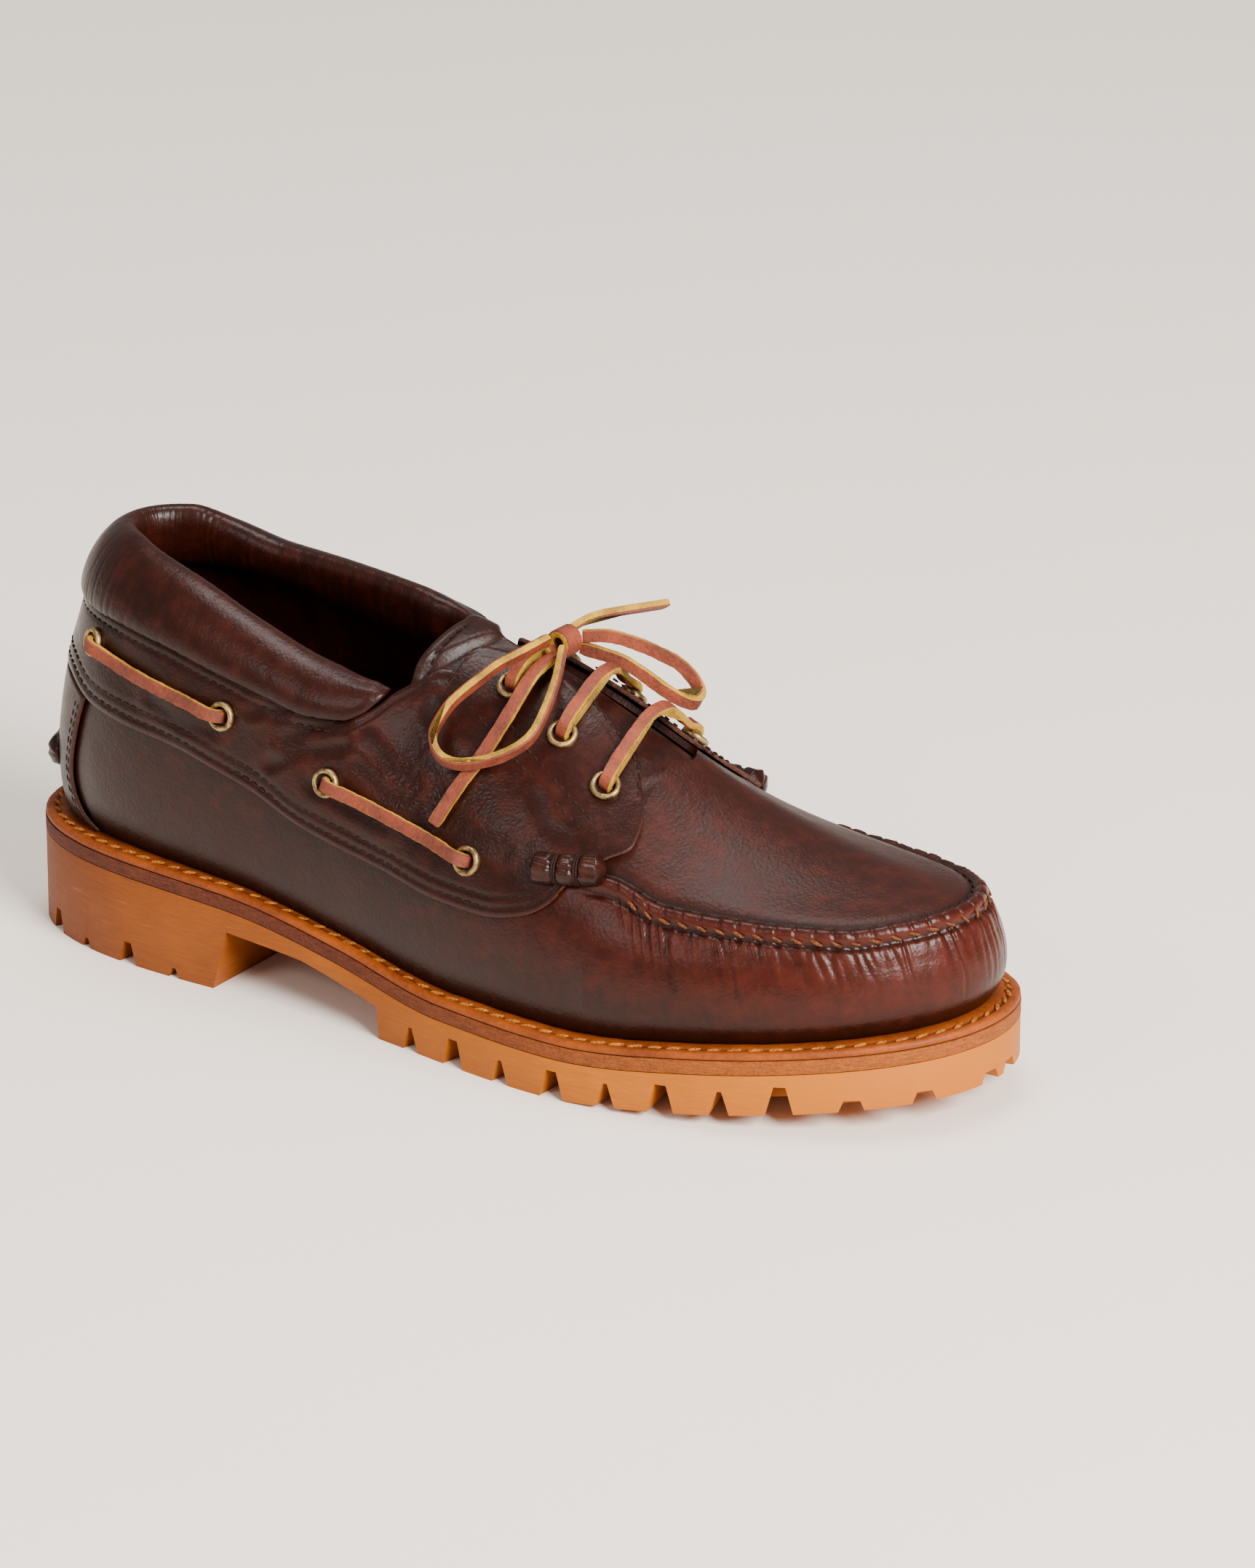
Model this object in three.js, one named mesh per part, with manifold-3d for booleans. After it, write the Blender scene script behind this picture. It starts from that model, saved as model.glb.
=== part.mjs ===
// Men's hand-sewn three-eye moccasin on a lug sole, right shoe. Millimetres, +X to the toe, -Y to the outside, +Z up.
import * as THREE from 'three';
import Module from 'manifold-3d';

const wasm = await Module();
wasm.setup();

// Driving sizes
const soleLength = 302;
const ballHalfWidth = 55;
const instepRise = 92;
const heelDeckHeight = 31.5;
const forefootThickness = 16.5;
const toeSpring = 9.8;
const gap = 0.3;
const overlayGap = 0.7;
const footClearance = 0.45;

// Sole stack
const midsoleThickness = 3.8;
const weltThickness = 1.8;
const weltChamfer = 0.9;
const weltEdgeStep = 0.6;
const weltLedge = 9;
const insoleThickness = 3.5;
const insoleClearance = 1.8;
const insoleBevel = 0.8;
const midsoleDrop = 0.9;

// Lug sole
const heelBlockLength = 76;
const breastSlant = 6.5;
const breastHeight = 17.8;
const waistEnd = 136;
const treadRear = 137.5;
const forefootLugHeight = 9.3;
const notchDepth = 15;
const wideNotch = { mouth: 7.6, roof: 3.2, height: 8 };
const narrowNotch = { mouth: 5.6, roof: 1.2, height: 6.8 };
const toeNotch = { mouth: 7, roof: 4.4, height: 3 };
const heelWideNotch = { mouth: 6.2, roof: 2.6, height: 6.4 };
const heelNarrowNotch = { mouth: 3.6, roof: 1.2, height: 2.8 };
const channelInset = 17;
const channelWidth = 3.5;
const channelDepth = 4;

// Leather and fittings
const upperWall = 1.8;
const quarterWall = 1.3;
const counterWall = 1;
const seamRise = 2.2;
const seamGroove = 0.4;
const tongueThickness = 2.6;
const tongueHalfWidth = 25;
const throatHalfGap = 11;
const collarSeat = 1.8;
const rollRise = 5;
const rollHalfWidth = 4.3;
const eyeletHole = 2.4;
const eyeletBarrel = 2.9;
const eyeletFlange = 4.1;
const eyeletSides = 8;
const cutTolerance = 0.03;
const eyeletSeat = 0.45;
const eyeletRim = 0.9;
const eyeletRound = 0.6;
const heelRollHeight = 48;
const heelRollRise = 3.4;
const laceWidth = 3.6;
const laceThickness = 2.2;
const laceRest = 3.6;
const laceThroatRise = 4.8;
const laceKnotSeat = 2.6;
const cordRadius = 1.3;

// Outline of the sole seen from above, as shares of length and ball half width, from the heel back by the outside
const soleOutline = [
  [-0.013, 0.02], [0.010, -0.427], [0.11, -0.70], [0.24, -0.745], [0.37, -0.738],
  [0.50, -0.880], [0.62, -1.010], [0.745, -0.996], [0.88, -0.786], [0.985, -0.382],
  [1.016, 0.127], [0.985, 0.61], [0.89, 0.865], [0.76, 0.93], [0.63, 0.86],
  [0.50, 0.66], [0.37, 0.56], [0.24, 0.63], [0.11, 0.69], [0.010, 0.46],
];

// Top of the midsole along the foot: share of length, share of the heel's height, share of the forefoot's thickness
const deckRows = [
  [-0.03, 1, 0], [0.132, 0.985, 0], [0.265, 0.93, 0], [0.397, 0.52, 0.40], [0.53, 0, 1.03],
  [0.662, 0, 1], [0.795, 0, 1.19], [0.911, 0, 1.39], [1.03, 0, 1.61],
];

// Toe spring of the ground face: share of length, share of the spring
const groundRows = [
  [-0.03, 0], [0.646, 0], [0.712, 0.12], [0.811, 0.37], [0.911, 0.67], [1.03, 1],
];

// Sections of the last from the heel back to the toe tip. The first two columns place the section's centre, the
// rest are pairs of inset from the sole's edge and height over the deck, shares of half width and instep rise.
const lastRows = [
  // centre x, y, feather in, low in, up, girth in, up, mid in, up, high in, up, shoulder in, up, crown in, up, ridge
  [0.152, 0.02, 0.127, 0.065, 0.076, 0.058, 0.26, 0.118, 0.49, 0.235, 0.674, 0.318, 0.826, 0.46, 0.935, 0.957],
  [0.152, 0.02, 0.127, 0.065, 0.076, 0.055, 0.26, 0.109, 0.49, 0.212, 0.674, 0.295, 0.826, 0.436, 0.935, 0.957],
  [0.159, 0.02, 0.118, 0.047, 0.076, 0.029, 0.26, 0.065, 0.478, 0.118, 0.652, 0.155, 0.804, 0.327, 0.924, 0.957],
  [0.245, 0.02, 0.118, 0.04, 0.076, 0.011, 0.24, 0.033, 0.456, 0.073, 0.62, 0.127, 0.783, 0.327, 0.902, 0.946],
  [0.371, 0.02, 0.118, 0.04, 0.087, 0.009, 0.24, 0.027, 0.435, 0.082, 0.609, 0.164, 0.772, 0.382, 0.902, 0.957],
  [0.497, 0.03, 0.118, 0.055, 0.087, 0.033, 0.24, 0.073, 0.435, 0.182, 0.641, 0.364, 0.804, 0.618, 0.957, 1.011],
  [0.609, 0.045, 0.118, 0.064, 0.076, 0.055, 0.207, 0.109, 0.391, 0.273, 0.576, 0.491, 0.717, 0.764, 0.865, 0.902],
  [0.728, 0.073, 0.118, 0.058, 0.065, 0.047, 0.174, 0.091, 0.315, 0.236, 0.413, 0.473, 0.5, 0.727, 0.593, 0.63],
  [0.828, 0.091, 0.118, 0.055, 0.065, 0.044, 0.152, 0.073, 0.272, 0.182, 0.359, 0.4, 0.391, 0.618, 0.44, 0.484],
  [0.868, 0.10, 0.109, 0.044, 0.065, 0.029, 0.141, 0.055, 0.25, 0.145, 0.342, 0.327, 0.364, 0.491, 0.391, 0.43],
  [0.881, 0.109, 0.109, 0.04, 0.065, 0.025, 0.141, 0.051, 0.25, 0.136, 0.342, 0.291, 0.359, 0.436, 0.38, 0.413],
];

// Lines drawn on the last. Each row: share of length, height shares of the instep rise over the deck or the ground
const seamLine = [[0, 0.46], [0.4, 0.46], [0.616, 0.467], [0.69, 0.456], [0.75, 0.39], [0.828, 0.353],
  [0.887, 0.33], [0.94, 0.313], [1.01, 0.315]];
const quarterFoot = [[0.0, 0.835], [0.03, 0.828], [0.093, 0.777], [0.209, 0.745], [0.295, 0.685], [0.371, 0.598],
  [0.45, 0.549], [0.533, 0.50], [0.573, 0.494], [0.62, 0.524], [0.64, 0.56], [0.66, 0.63]];
const collarFoot = [[0.0, 1.065], [0.1, 1.062], [0.189, 1.04], [0.252, 1.003], [0.315, 0.963], [0.364, 0.932],
  [0.397, 0.936], [0.424, 0.98], [0.444, 1.043], [0.457, 1.09]];
// Top of the collar: share of length, height share on the outside of the foot, height share on the inside
const collarTop = [[0.0, 1.285, 1.285], [0.066, 1.29, 1.285], [0.132, 1.27, 1.245], [0.199, 1.234, 1.2],
  [0.281, 1.158, 1.19], [0.364, 1.08, 1.175], [0.434, 1.045, 1.13], [0.457, 1.09, 1.12]];

// Places of the fittings: share of length and height share of the instep rise over the ground
const eyeletPlaces = [
  { name: 'side_1', x: 0.103, up: 0.965 },
  { name: 'side_2', x: 0.271, up: 0.879 },
  { name: 'side_3', x: 0.392, up: 0.757 },
  { name: 'side_4', x: 0.554, up: 0.636 },
  { name: 'throat_1', x: 0.538, up: 1.064 },
  { name: 'throat_2', x: 0.599, up: 0.967 },
  { name: 'throat_3', x: 0.652, up: 0.854 },
];

// Smooth monotone curve through the rows of a table, read at x from the given column
function ease(rows, x, column = 1) {
  const last = rows.length - 1;
  if (x <= rows[0][0]) return rows[0][column];
  if (x >= rows[last][0]) return rows[last][column];
  const step = (i) => rows[i + 1][0] - rows[i][0];
  const rise = (i) => (rows[i + 1][column] - rows[i][column]) / step(i);
  const slope = (i) => {
    if (i === 0) return rise(0);
    if (i === last) return rise(last - 1);
    const before = rise(i - 1);
    const after = rise(i);
    if (before * after <= 0) return 0;
    const weightBefore = 2 * step(i) + step(i - 1);
    const weightAfter = step(i) + 2 * step(i - 1);
    return (weightBefore + weightAfter) / (weightBefore / before + weightAfter / after);
  };
  let k = 0;
  while (rows[k + 1][0] < x) k += 1;
  const u = (x - rows[k][0]) / step(k);
  const start = (2 * u ** 3 - 3 * u ** 2 + 1) * rows[k][column];
  const end = (3 * u ** 2 - 2 * u ** 3) * rows[k + 1][column];
  const leave = (u ** 3 - 2 * u ** 2 + u) * step(k) * slope(k);
  const arrive = (u ** 3 - u ** 2) * step(k) * slope(k + 1);
  return start + end + leave + arrive;
}

function splineWeights(u) {
  return [
    (1 - u) ** 3 / 6,
    (3 * u ** 3 - 6 * u ** 2 + 4) / 6,
    (-3 * u ** 3 + 3 * u ** 2 + 3 * u + 1) / 6,
    u ** 3 / 6,
  ];
}

const stations = soleOutline.length;

// Point of the sole's outline at a share s of the way round
function outlinePoint(s) {
  const place = (s - Math.floor(s)) * stations;
  const k = Math.floor(place);
  const weights = splineWeights(place - k);
  const point = new THREE.Vector2();
  weights.forEach((weight, j) => {
    const row = soleOutline[(k + j - 1 + stations) % stations];
    point.x += weight * row[0] * soleLength;
    point.y += weight * row[1] * ballHalfWidth;
  });
  return point;
}

function outlineInward(s) {
  const step = 1e-4;
  const along = outlinePoint(s + step).sub(outlinePoint(s - step)).normalize();
  return new THREE.Vector2(-along.y, along.x);
}

function insetPoint(s, inset) {
  return outlinePoint(s).addScaledVector(outlineInward(s), inset);
}

function deck(x) {
  const share = x / soleLength;
  return ease(deckRows, share, 1) * heelDeckHeight + ease(deckRows, share, 2) * forefootThickness;
}

function ground(x) {
  return ease(groundRows, x / soleLength) * toeSpring;
}

// Control points of the last: one ring of the table per station, the far side by mirror of the station's number
const lastNet = Array.from({ length: stations }, (_, i) => {
  const row = lastRows[Math.min(i, stations - i)];
  const edge = outlinePointOfStation(i);
  const centre = new THREE.Vector2(row[0] * soleLength, row[1] * ballHalfWidth);
  const inward = centre.clone().sub(edge);
  const reach = inward.length();
  inward.normalize();
  const at = (inset, up) => {
    const spot = edge.clone().addScaledVector(inward, inset);
    return new THREE.Vector3(spot.x, spot.y, up * instepRise);
  };
  const ring = [at(row[2] * ballHalfWidth, 0)];
  for (let column = 3; column < 15; column += 2) ring.push(at(row[column] * ballHalfWidth, row[column + 1]));
  ring.push(at(reach, row[15]));
  return ring;
});

function outlinePointOfStation(i) {
  return outlinePoint(i / stations);
}

lastNet.forEach((ring) => ring.unshift(ring[0].clone().multiplyScalar(2).sub(ring[1])));
const ringLength = lastNet[0].length;
lastNet.forEach((ring, i) => {
  const across = lastNet[(stations - i) % stations];
  ring.push(across[ringLength - 2].clone());
});
const spans = ringLength - 2;

// Point of the last's outside at a share s round the outline and t from the feather edge to the ridge
function lastPoint(s, t) {
  const place = (s - Math.floor(s)) * stations;
  const k = Math.floor(place);
  const round = splineWeights(place - k);
  const climb = Math.min(Math.max(t, 0), 1) * spans;
  const j = Math.min(Math.floor(climb), spans - 1);
  const up = splineWeights(climb - j);
  const point = new THREE.Vector3();
  round.forEach((a, m) => up.forEach((b, n) => {
    point.addScaledVector(lastNet[(k + m - 1 + stations) % stations][j + n], a * b);
  }));
  point.z += deck(point.x);
  return point;
}

function faceNormal(s, t) {
  const step = 0.003;
  const high = Math.min(t, 0.995);
  const low = Math.max(high - 0.01, 0);
  const along = lastPoint(s + step, high).sub(lastPoint(s - step, high));
  const up = lastPoint(s, Math.max(high, low + 0.01)).sub(lastPoint(s, low));
  return along.cross(up).normalize();
}

function lastNormal(s, t) {
  const normal = faceNormal(s, t);
  if (t < 0.999) return normal;
  return normal.add(faceNormal(1 - s, t)).normalize();
}

// Point at a distance outside the last's face, inside it where the distance is negative
function off(s, t, distance) {
  return lastPoint(s, t).addScaledVector(lastNormal(s, t), distance);
}

// Share t where the last's face reaches a height over the ground plane
function climbTo(s, height) {
  let low = 0;
  let high = 1;
  for (let i = 0; i < 30; i += 1) {
    const middle = (low + high) / 2;
    if (lastPoint(s, middle).z < height) low = middle;
    else high = middle;
  }
  return (low + high) / 2;
}

// Share t that lies a distance down the face from the ridge
function downFromRidge(s, distance) {
  const steps = 80;
  let walked = 0;
  let before = lastPoint(s, 1);
  for (let i = 1; i <= steps; i += 1) {
    const here = lastPoint(s, 1 - i / steps);
    const piece = here.distanceTo(before);
    if (walked + piece >= distance) return 1 - (i - 1 + (distance - walked) / piece) / steps;
    walked += piece;
    before = here;
  }
  return 0;
}

function shareOfLength(s) {
  return outlinePoint(s).x / soleLength;
}

// Closed mesh from points and faces of three or four corners, split on the shorter diagonal, welded where points meet
function closedMesh(points, faces) {
  const numbers = new Map();
  const kept = [];
  const number = points.map((point) => {
    const key = [point.x, point.y, point.z].map((value) => Math.round(value * 2000)).join(' ');
    if (!numbers.has(key)) {
      numbers.set(key, kept.length / 3);
      kept.push(point.x, point.y, point.z);
    }
    return numbers.get(key);
  });
  const index = [];
  const addTriangle = (a, b, c) => {
    if (a !== b && b !== c && c !== a) index.push(a, b, c);
  };
  faces.forEach((face) => {
    const [a, b, c, d] = face.map((corner) => number[corner]);
    const at = face.map((corner) => points[corner]);
    if (face.length === 3) {
      addTriangle(a, b, c);
    } else if (at[0].distanceTo(at[2]) < at[1].distanceTo(at[3]) + cutTolerance) {
      addTriangle(a, b, c);
      addTriangle(a, c, d);
    } else {
      addTriangle(a, b, d);
      addTriangle(b, c, d);
    }
  });
  const geometry = new THREE.BufferGeometry();
  geometry.setAttribute('position', new THREE.Float32BufferAttribute(kept, 3));
  geometry.setIndex(index);
  return geometry;
}

function toManifold(geometry) {
  const vertProperties = new Float32Array(geometry.attributes.position.array);
  const triVerts = new Uint32Array(geometry.index.array);
  return new wasm.Manifold(new wasm.Mesh({ numProp: 3, vertProperties, triVerts }));
}

function fromManifold(body) {
  const mesh = body.getMesh();
  const geometry = new THREE.BufferGeometry();
  geometry.setAttribute('position', new THREE.Float32BufferAttribute(Array.from(mesh.vertProperties), 3));
  geometry.setIndex(Array.from(mesh.triVerts));
  return geometry;
}

// Slab of the sole: the outline inset at top and bottom, between two heights that are functions of x
function slab(topInset, bottomInset, topHeight, bottomHeight, count) {
  const points = [];
  const faces = [];
  for (let i = 0; i < count; i += 1) {
    const top = insetPoint(i / count, topInset);
    const bottom = insetPoint(i / count, bottomInset);
    points.push(new THREE.Vector3(top.x, top.y, topHeight(top.x)));
    points.push(new THREE.Vector3(bottom.x, bottom.y, bottomHeight(bottom.x)));
  }
  const top = (i) => 2 * (i % count);
  const bottom = (i) => 2 * (i % count) + 1;
  for (let i = 0; i < count; i += 1) faces.push([bottom(i), bottom(i + 1), top(i + 1), top(i)]);
  for (let i = 0; i < count / 2; i += 1) {
    faces.push([top(i), top(i + 1), top(count - i - 1), top(count - i)]);
    faces.push([bottom(count - i), bottom(count - i - 1), bottom(i + 1), bottom(i)]);
  }
  return closedMesh(points, faces);
}

// Ring swept round the whole outline from a closed profile of inset and height over the deck
function outlineRing(profile, count) {
  const points = [];
  const faces = [];
  for (let i = 0; i < count; i += 1) {
    profile.forEach(([inset, up]) => {
      const spot = insetPoint(i / count, inset);
      points.push(new THREE.Vector3(spot.x, spot.y, deck(outlinePoint(i / count).x) + up));
    });
  }
  const size = profile.length;
  for (let i = 0; i < count; i += 1) {
    const next = (i + 1) % count;
    for (let j = 0; j < size; j += 1) {
      const k = (j + 1) % size;
      faces.push([i * size + j, next * size + j, next * size + k, i * size + k]);
    }
  }
  return closedMesh(points, faces);
}

// Extruded section set in the frame of an outline station: x along the outline, y up, z inwards
function notchCutter(s, notch, depth) {
  const below = 3;
  const slope = (notch.mouth - notch.roof) / notch.height;
  const mouth = notch.mouth / 2 + slope * below / 2;
  const shape = new THREE.Shape([
    new THREE.Vector2(-mouth, -below),
    new THREE.Vector2(mouth, -below),
    new THREE.Vector2(notch.roof / 2, notch.height),
    new THREE.Vector2(-notch.roof / 2, notch.height),
  ]);
  const overrun = 6;
  const geometry = new THREE.ExtrudeGeometry(shape, { depth: depth + overrun, bevelEnabled: false });
  const spot = outlinePoint(s);
  const inward = outlineInward(s);
  const inwards = new THREE.Vector3(inward.x, inward.y, 0);
  const up = new THREE.Vector3(0, 0, 1);
  const along = up.clone().cross(inwards);
  const start = new THREE.Vector3(spot.x, spot.y, ground(spot.x)).addScaledVector(inwards, -overrun);
  const place = new THREE.Matrix4().makeBasis(along, up, inwards).setPosition(start);
  return extrudedBody(geometry.applyMatrix4(place));
}

function extrudedBody(geometry) {
  const position = geometry.attributes.position;
  const points = [];
  for (let i = 0; i < position.count; i += 1) points.push(new THREE.Vector3().fromBufferAttribute(position, i));
  const faces = [];
  for (let i = 0; i < position.count; i += 3) faces.push([i, i + 1, i + 2]);
  return toManifold(closedMesh(points, faces));
}

// Extrusion across the shoe of a side profile given in x and z
function acrossCutter(profile) {
  const reach = 2 * ballHalfWidth;
  const shape = new THREE.Shape(profile.map(([x, z]) => new THREE.Vector2(x, z)));
  const geometry = new THREE.ExtrudeGeometry(shape, { depth: 2 * reach, bevelEnabled: false });
  geometry.rotateX(Math.PI / 2);
  geometry.translate(0, reach, 0);
  return extrudedBody(geometry);
}

function outsoleGeometry() {
  const rubberTop = (x) => deck(x) - midsoleDrop - midsoleThickness - gap;
  let body = toManifold(slab(0, 0.8, rubberTop, ground, 72));
  const slack = 6;
  const waist = acrossCutter([
    [heelBlockLength, -slack],
    [treadRear, -slack],
    [waistEnd, forefootLugHeight],
    [heelBlockLength + breastSlant + 26, breastHeight - 2.4],
    [heelBlockLength + breastSlant, breastHeight],
  ]);
  body = body.subtract(waist);
  const notches = [
    [0.2477, narrowNotch], [0.2692, wideNotch], [0.2923, narrowNotch], [0.3158, wideNotch],
    [0.338, narrowNotch], [0.3585, wideNotch], [0.3788, narrowNotch], [0.399, wideNotch],
    [0.424, toeNotch], [0.453, toeNotch], [0.491, toeNotch],
    [0.069, heelWideNotch], [0.093, heelNarrowNotch], [0.1168, heelWideNotch], [0.139, heelNarrowNotch],
  ];
  notches.forEach(([s, notch]) => {
    const depth = notch === narrowNotch || notch === wideNotch ? notchDepth : notchDepth / 2;
    body = body.subtract(notchCutter(s, notch, depth));
    body = body.subtract(notchCutter(1 - s, notch, depth));
  });
  const roof = (x) => ground(x) + channelDepth;
  const under = (x) => ground(x) - slack;
  const outer = toManifold(slab(channelInset, channelInset, roof, under, 48));
  const inner = toManifold(slab(channelInset + channelWidth, channelInset + channelWidth, (x) => roof(x) + 1,
    (x) => under(x) - 1, 48));
  const forefoot = acrossCutter([[148, -20], [262, -20], [262, 30], [148, 30]]);
  body = body.subtract(outer.subtract(inner).intersect(forefoot));
  return fromManifold(body);
}

function midsoleGeometry() {
  const top = (x) => deck(x) - midsoleDrop;
  return slab(0.4, 0.2, top, (x) => top(x) - midsoleThickness, 52);
}

function weltGeometry() {
  const bottom = gap - midsoleDrop;
  const top = bottom + weltThickness;
  return outlineRing([
    [weltEdgeStep, bottom], [weltEdgeStep, top - weltChamfer], [weltEdgeStep + weltChamfer, top],
    [weltLedge, top], [weltLedge, bottom],
  ], 52);
}

function insoleGeometry() {
  const bottom = (x) => deck(x) - midsoleDrop + gap;
  const inset = weltLedge + insoleClearance;
  return slab(inset + insoleBevel, inset, (x) => bottom(x) + insoleThickness, bottom, 48);
}

// Height over the deck where the upper's foot stands on the welt
const footRise = gap - midsoleDrop + weltThickness + footClearance;

const throatRows = [
  // share round the outline, share of the throat's half gap
  [0.226, 3.0], [0.236, 2.2], [0.25, 0.8], [0.27, 0.6], [0.29, 0.8], [0.309, 1.0], [0.3237, 0.9], [0.334, 0],
];

// Upper end of the leather at a share s: the collar's foot, the throat's edge, or the closed ridge
function topOf(s, margin) {
  const near = Math.min(s, 1 - s);
  if (near >= 0.334) return 1;
  const throat = near < 0.226 ? 1 : downFromRidge(s, ease(throatRows, near) * throatHalfGap + margin);
  if (near > 0.245) return throat;
  const collar = climbTo(s, ease(collarFoot, shareOfLength(s)) * instepRise - margin / 2);
  return Math.min(throat, collar);
}

function seamShare(s) {
  const spot = outlinePoint(s);
  return climbTo(s, deck(spot.x) + ease(seamLine, spot.x / soleLength) * instepRise);
}

// Raised seam round the plug: distance across it and rise, faded out behind the throat
const seamProfile = [[-4, 0], [-1.8, -seamGroove], [0, seamRise], [2, seamRise * 0.9], [4, 0]];
const seamFade = [[0, 0], [0.331, 0], [0.345, 1], [0.5, 1]];

function shellColumns() {
  const half = [];
  const count = 30;
  const heelColumns = 6;
  for (let i = 0; i <= count; i += 1) half.push(0.5 * i / count);
  for (let i = 0; i < heelColumns; i += 1) half.push(0.5 * (i + 0.5) / count);
  half.push(0.2355, 0.2435, 0.2917, 0.3, 0.3083, 0.3237, 0.329, 0.334);
  half.sort((a, b) => a - b);
  const far = half.slice(1, -1).reverse().map((s) => 1 - s);
  return half.concat(far);
}

function upperGeometry() {
  const columns = shellColumns();
  const footRows = 4;
  const topRows = 4;
  const innerFootRows = 3;
  const innerRows = innerFootRows + topRows;
  const points = [];
  const faces = [];
  const outerGrid = [];
  const innerGrid = [];
  const closed = [];
  columns.forEach((s) => {
    const start = climbTo(s, deck(outlinePoint(s).x) + footRise);
    const seam = seamShare(s);
    const top = topOf(s, 2);
    const stretch = lastPoint(s, seam + 0.01).distanceTo(lastPoint(s, seam - 0.01)) / 0.02;
    const fade = ease(seamFade, Math.min(s, 1 - s));
    const first = seam + seamProfile[0][0] / stretch;
    const final = seam + seamProfile[4][0] / stretch;
    const outer = [];
    for (let j = 0; j < footRows; j += 1) outer.push([start + (first - start) * j / footRows, 0]);
    seamProfile.forEach(([across, rise]) => outer.push([seam + across / stretch, rise * fade]));
    for (let j = 1; j <= topRows; j += 1) outer.push([final + (top - final) * j / topRows, 0]);
    const inner = [];
    for (let j = 0; j < innerFootRows; j += 1) inner.push(start + (seam - start) * j / innerFootRows);
    for (let j = 0; j <= topRows; j += 1) inner.push(seam + (top - seam) * j / topRows);
    outerGrid.push(outer.map(([t, rise]) => points.push(off(s, t, rise)) - 1));
    innerGrid.push(inner.map((t) => points.push(off(s, t, -upperWall)) - 1));
    closed.push(top === 1);
  });
  const outerTop = footRows + seamProfile.length + topRows - 1;
  columns.forEach((_, i) => {
    const k = (i + 1) % columns.length;
    for (let j = 0; j < outerTop; j += 1) {
      faces.push([outerGrid[i][j], outerGrid[k][j], outerGrid[k][j + 1], outerGrid[i][j + 1]]);
    }
    for (let j = 0; j < innerRows; j += 1) {
      faces.push([innerGrid[i][j + 1], innerGrid[k][j + 1], innerGrid[k][j], innerGrid[i][j]]);
    }
    faces.push([innerGrid[i][0], innerGrid[k][0], outerGrid[k][0], outerGrid[i][0]]);
    if (!(closed[i] && closed[k])) {
      faces.push([outerGrid[i][outerTop], outerGrid[k][outerTop], innerGrid[k][innerRows], innerGrid[i][innerRows]]);
    }
  });
  return closedMesh(points, faces);
}

// Patch of leather over the last: columns of s, rows from lowest to highest share, between two distances
function patch(columns, rows, place, inner, outer) {
  const points = [];
  const faces = [];
  const layer = (distance) => columns.map((column) => rows.map((row) => {
    const [s, t] = place(column, row);
    return points.push(off(s, t, distance)) - 1;
  }));
  const high = layer(outer);
  const low = layer(inner);
  const lastColumn = columns.length - 1;
  const lastRow = rows.length - 1;
  for (let i = 0; i < lastColumn; i += 1) {
    for (let j = 0; j < lastRow; j += 1) {
      faces.push([high[i][j], high[i + 1][j], high[i + 1][j + 1], high[i][j + 1]]);
      faces.push([low[i][j + 1], low[i + 1][j + 1], low[i + 1][j], low[i][j]]);
    }
    faces.push([low[i][0], low[i + 1][0], high[i + 1][0], high[i][0]]);
    faces.push([high[i][lastRow], high[i + 1][lastRow], low[i + 1][lastRow], low[i][lastRow]]);
  }
  for (let j = 0; j < lastRow; j += 1) {
    faces.push([low[0][j + 1], low[0][j], high[0][j], high[0][j + 1]]);
    faces.push([high[lastColumn][j + 1], high[lastColumn][j], low[lastColumn][j], low[lastColumn][j + 1]]);
  }
  return closedMesh(points, faces);
}

function spread(from, to, count) {
  return Array.from({ length: count + 1 }, (_, i) => from + (to - from) * i / count);
}

// Front edge of the quarter, from its foot up: share of the edge, share round the outline
const quarterFront = [[0, 0.312], [0.25, 0.326], [0.5, 0.332], [0.75, 0.332], [1, 0.323]];

const quarterEnd = 0.325;

function quarterPlace(column, row) {
  const side = column < 0 ? -1 : 1;
  const front = ease(quarterFront, row);
  const straight = 0.25;
  const reach = Math.abs(column);
  const stretch = (front - straight) / (quarterEnd - straight);
  const near = reach <= straight ? reach : straight + (reach - straight) * stretch;
  const s = side < 0 ? 1 - near : near;
  const low = climbTo(s, ease(quarterFoot, shareOfLength(s)) * instepRise);
  const high = topOf(s, 0);
  return [s, low + (high - low) * row];
}

function quarterGeometry() {
  const half = shellColumns().filter((s) => s < 0.32).concat([quarterEnd]);
  const columns = half.slice(1).reverse().map((s) => -s).concat(half);
  return patch(columns, spread(0, 1, 7), quarterPlace, overlayGap, overlayGap + quarterWall);
}

function counterGeometry() {
  const edge = [[0, 0.088], [0.2, 0.076], [0.45, 0.07], [0.75, 0.075], [1, 0.081]];
  const place = (column, row) => {
    const s = column * ease(edge, row);
    const around = (s + 1) % 1;
    const x = outlinePoint(around).x;
    const low = climbTo(around, deck(x) + footRise + 1.2);
    const high = climbTo(around, ease(quarterFoot, x / soleLength) * instepRise - gap - 0.5);
    return [around, low + (high - low) * row];
  };
  return patch(spread(-1, 1, 16), spread(0, 1, 4), place, overlayGap, overlayGap + counterWall);
}

// Closed body through rings of points, each ring going round the same way
function sweptBody(rings) {
  const points = rings.flat();
  const faces = [];
  const size = rings[0].length;
  const end = (rings.length - 1) * size;
  for (let i = 0; i < rings.length - 1; i += 1) {
    for (let j = 0; j < size; j += 1) {
      const k = (j + 1) % size;
      faces.push([i * size + j, (i + 1) * size + j, (i + 1) * size + k, i * size + k]);
    }
  }
  for (let j = 1; j < size - 1; j += 1) {
    faces.push([0, j, j + 1]);
    faces.push([end, end + j + 1, end + j]);
  }
  return closedMesh(points, faces);
}

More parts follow.
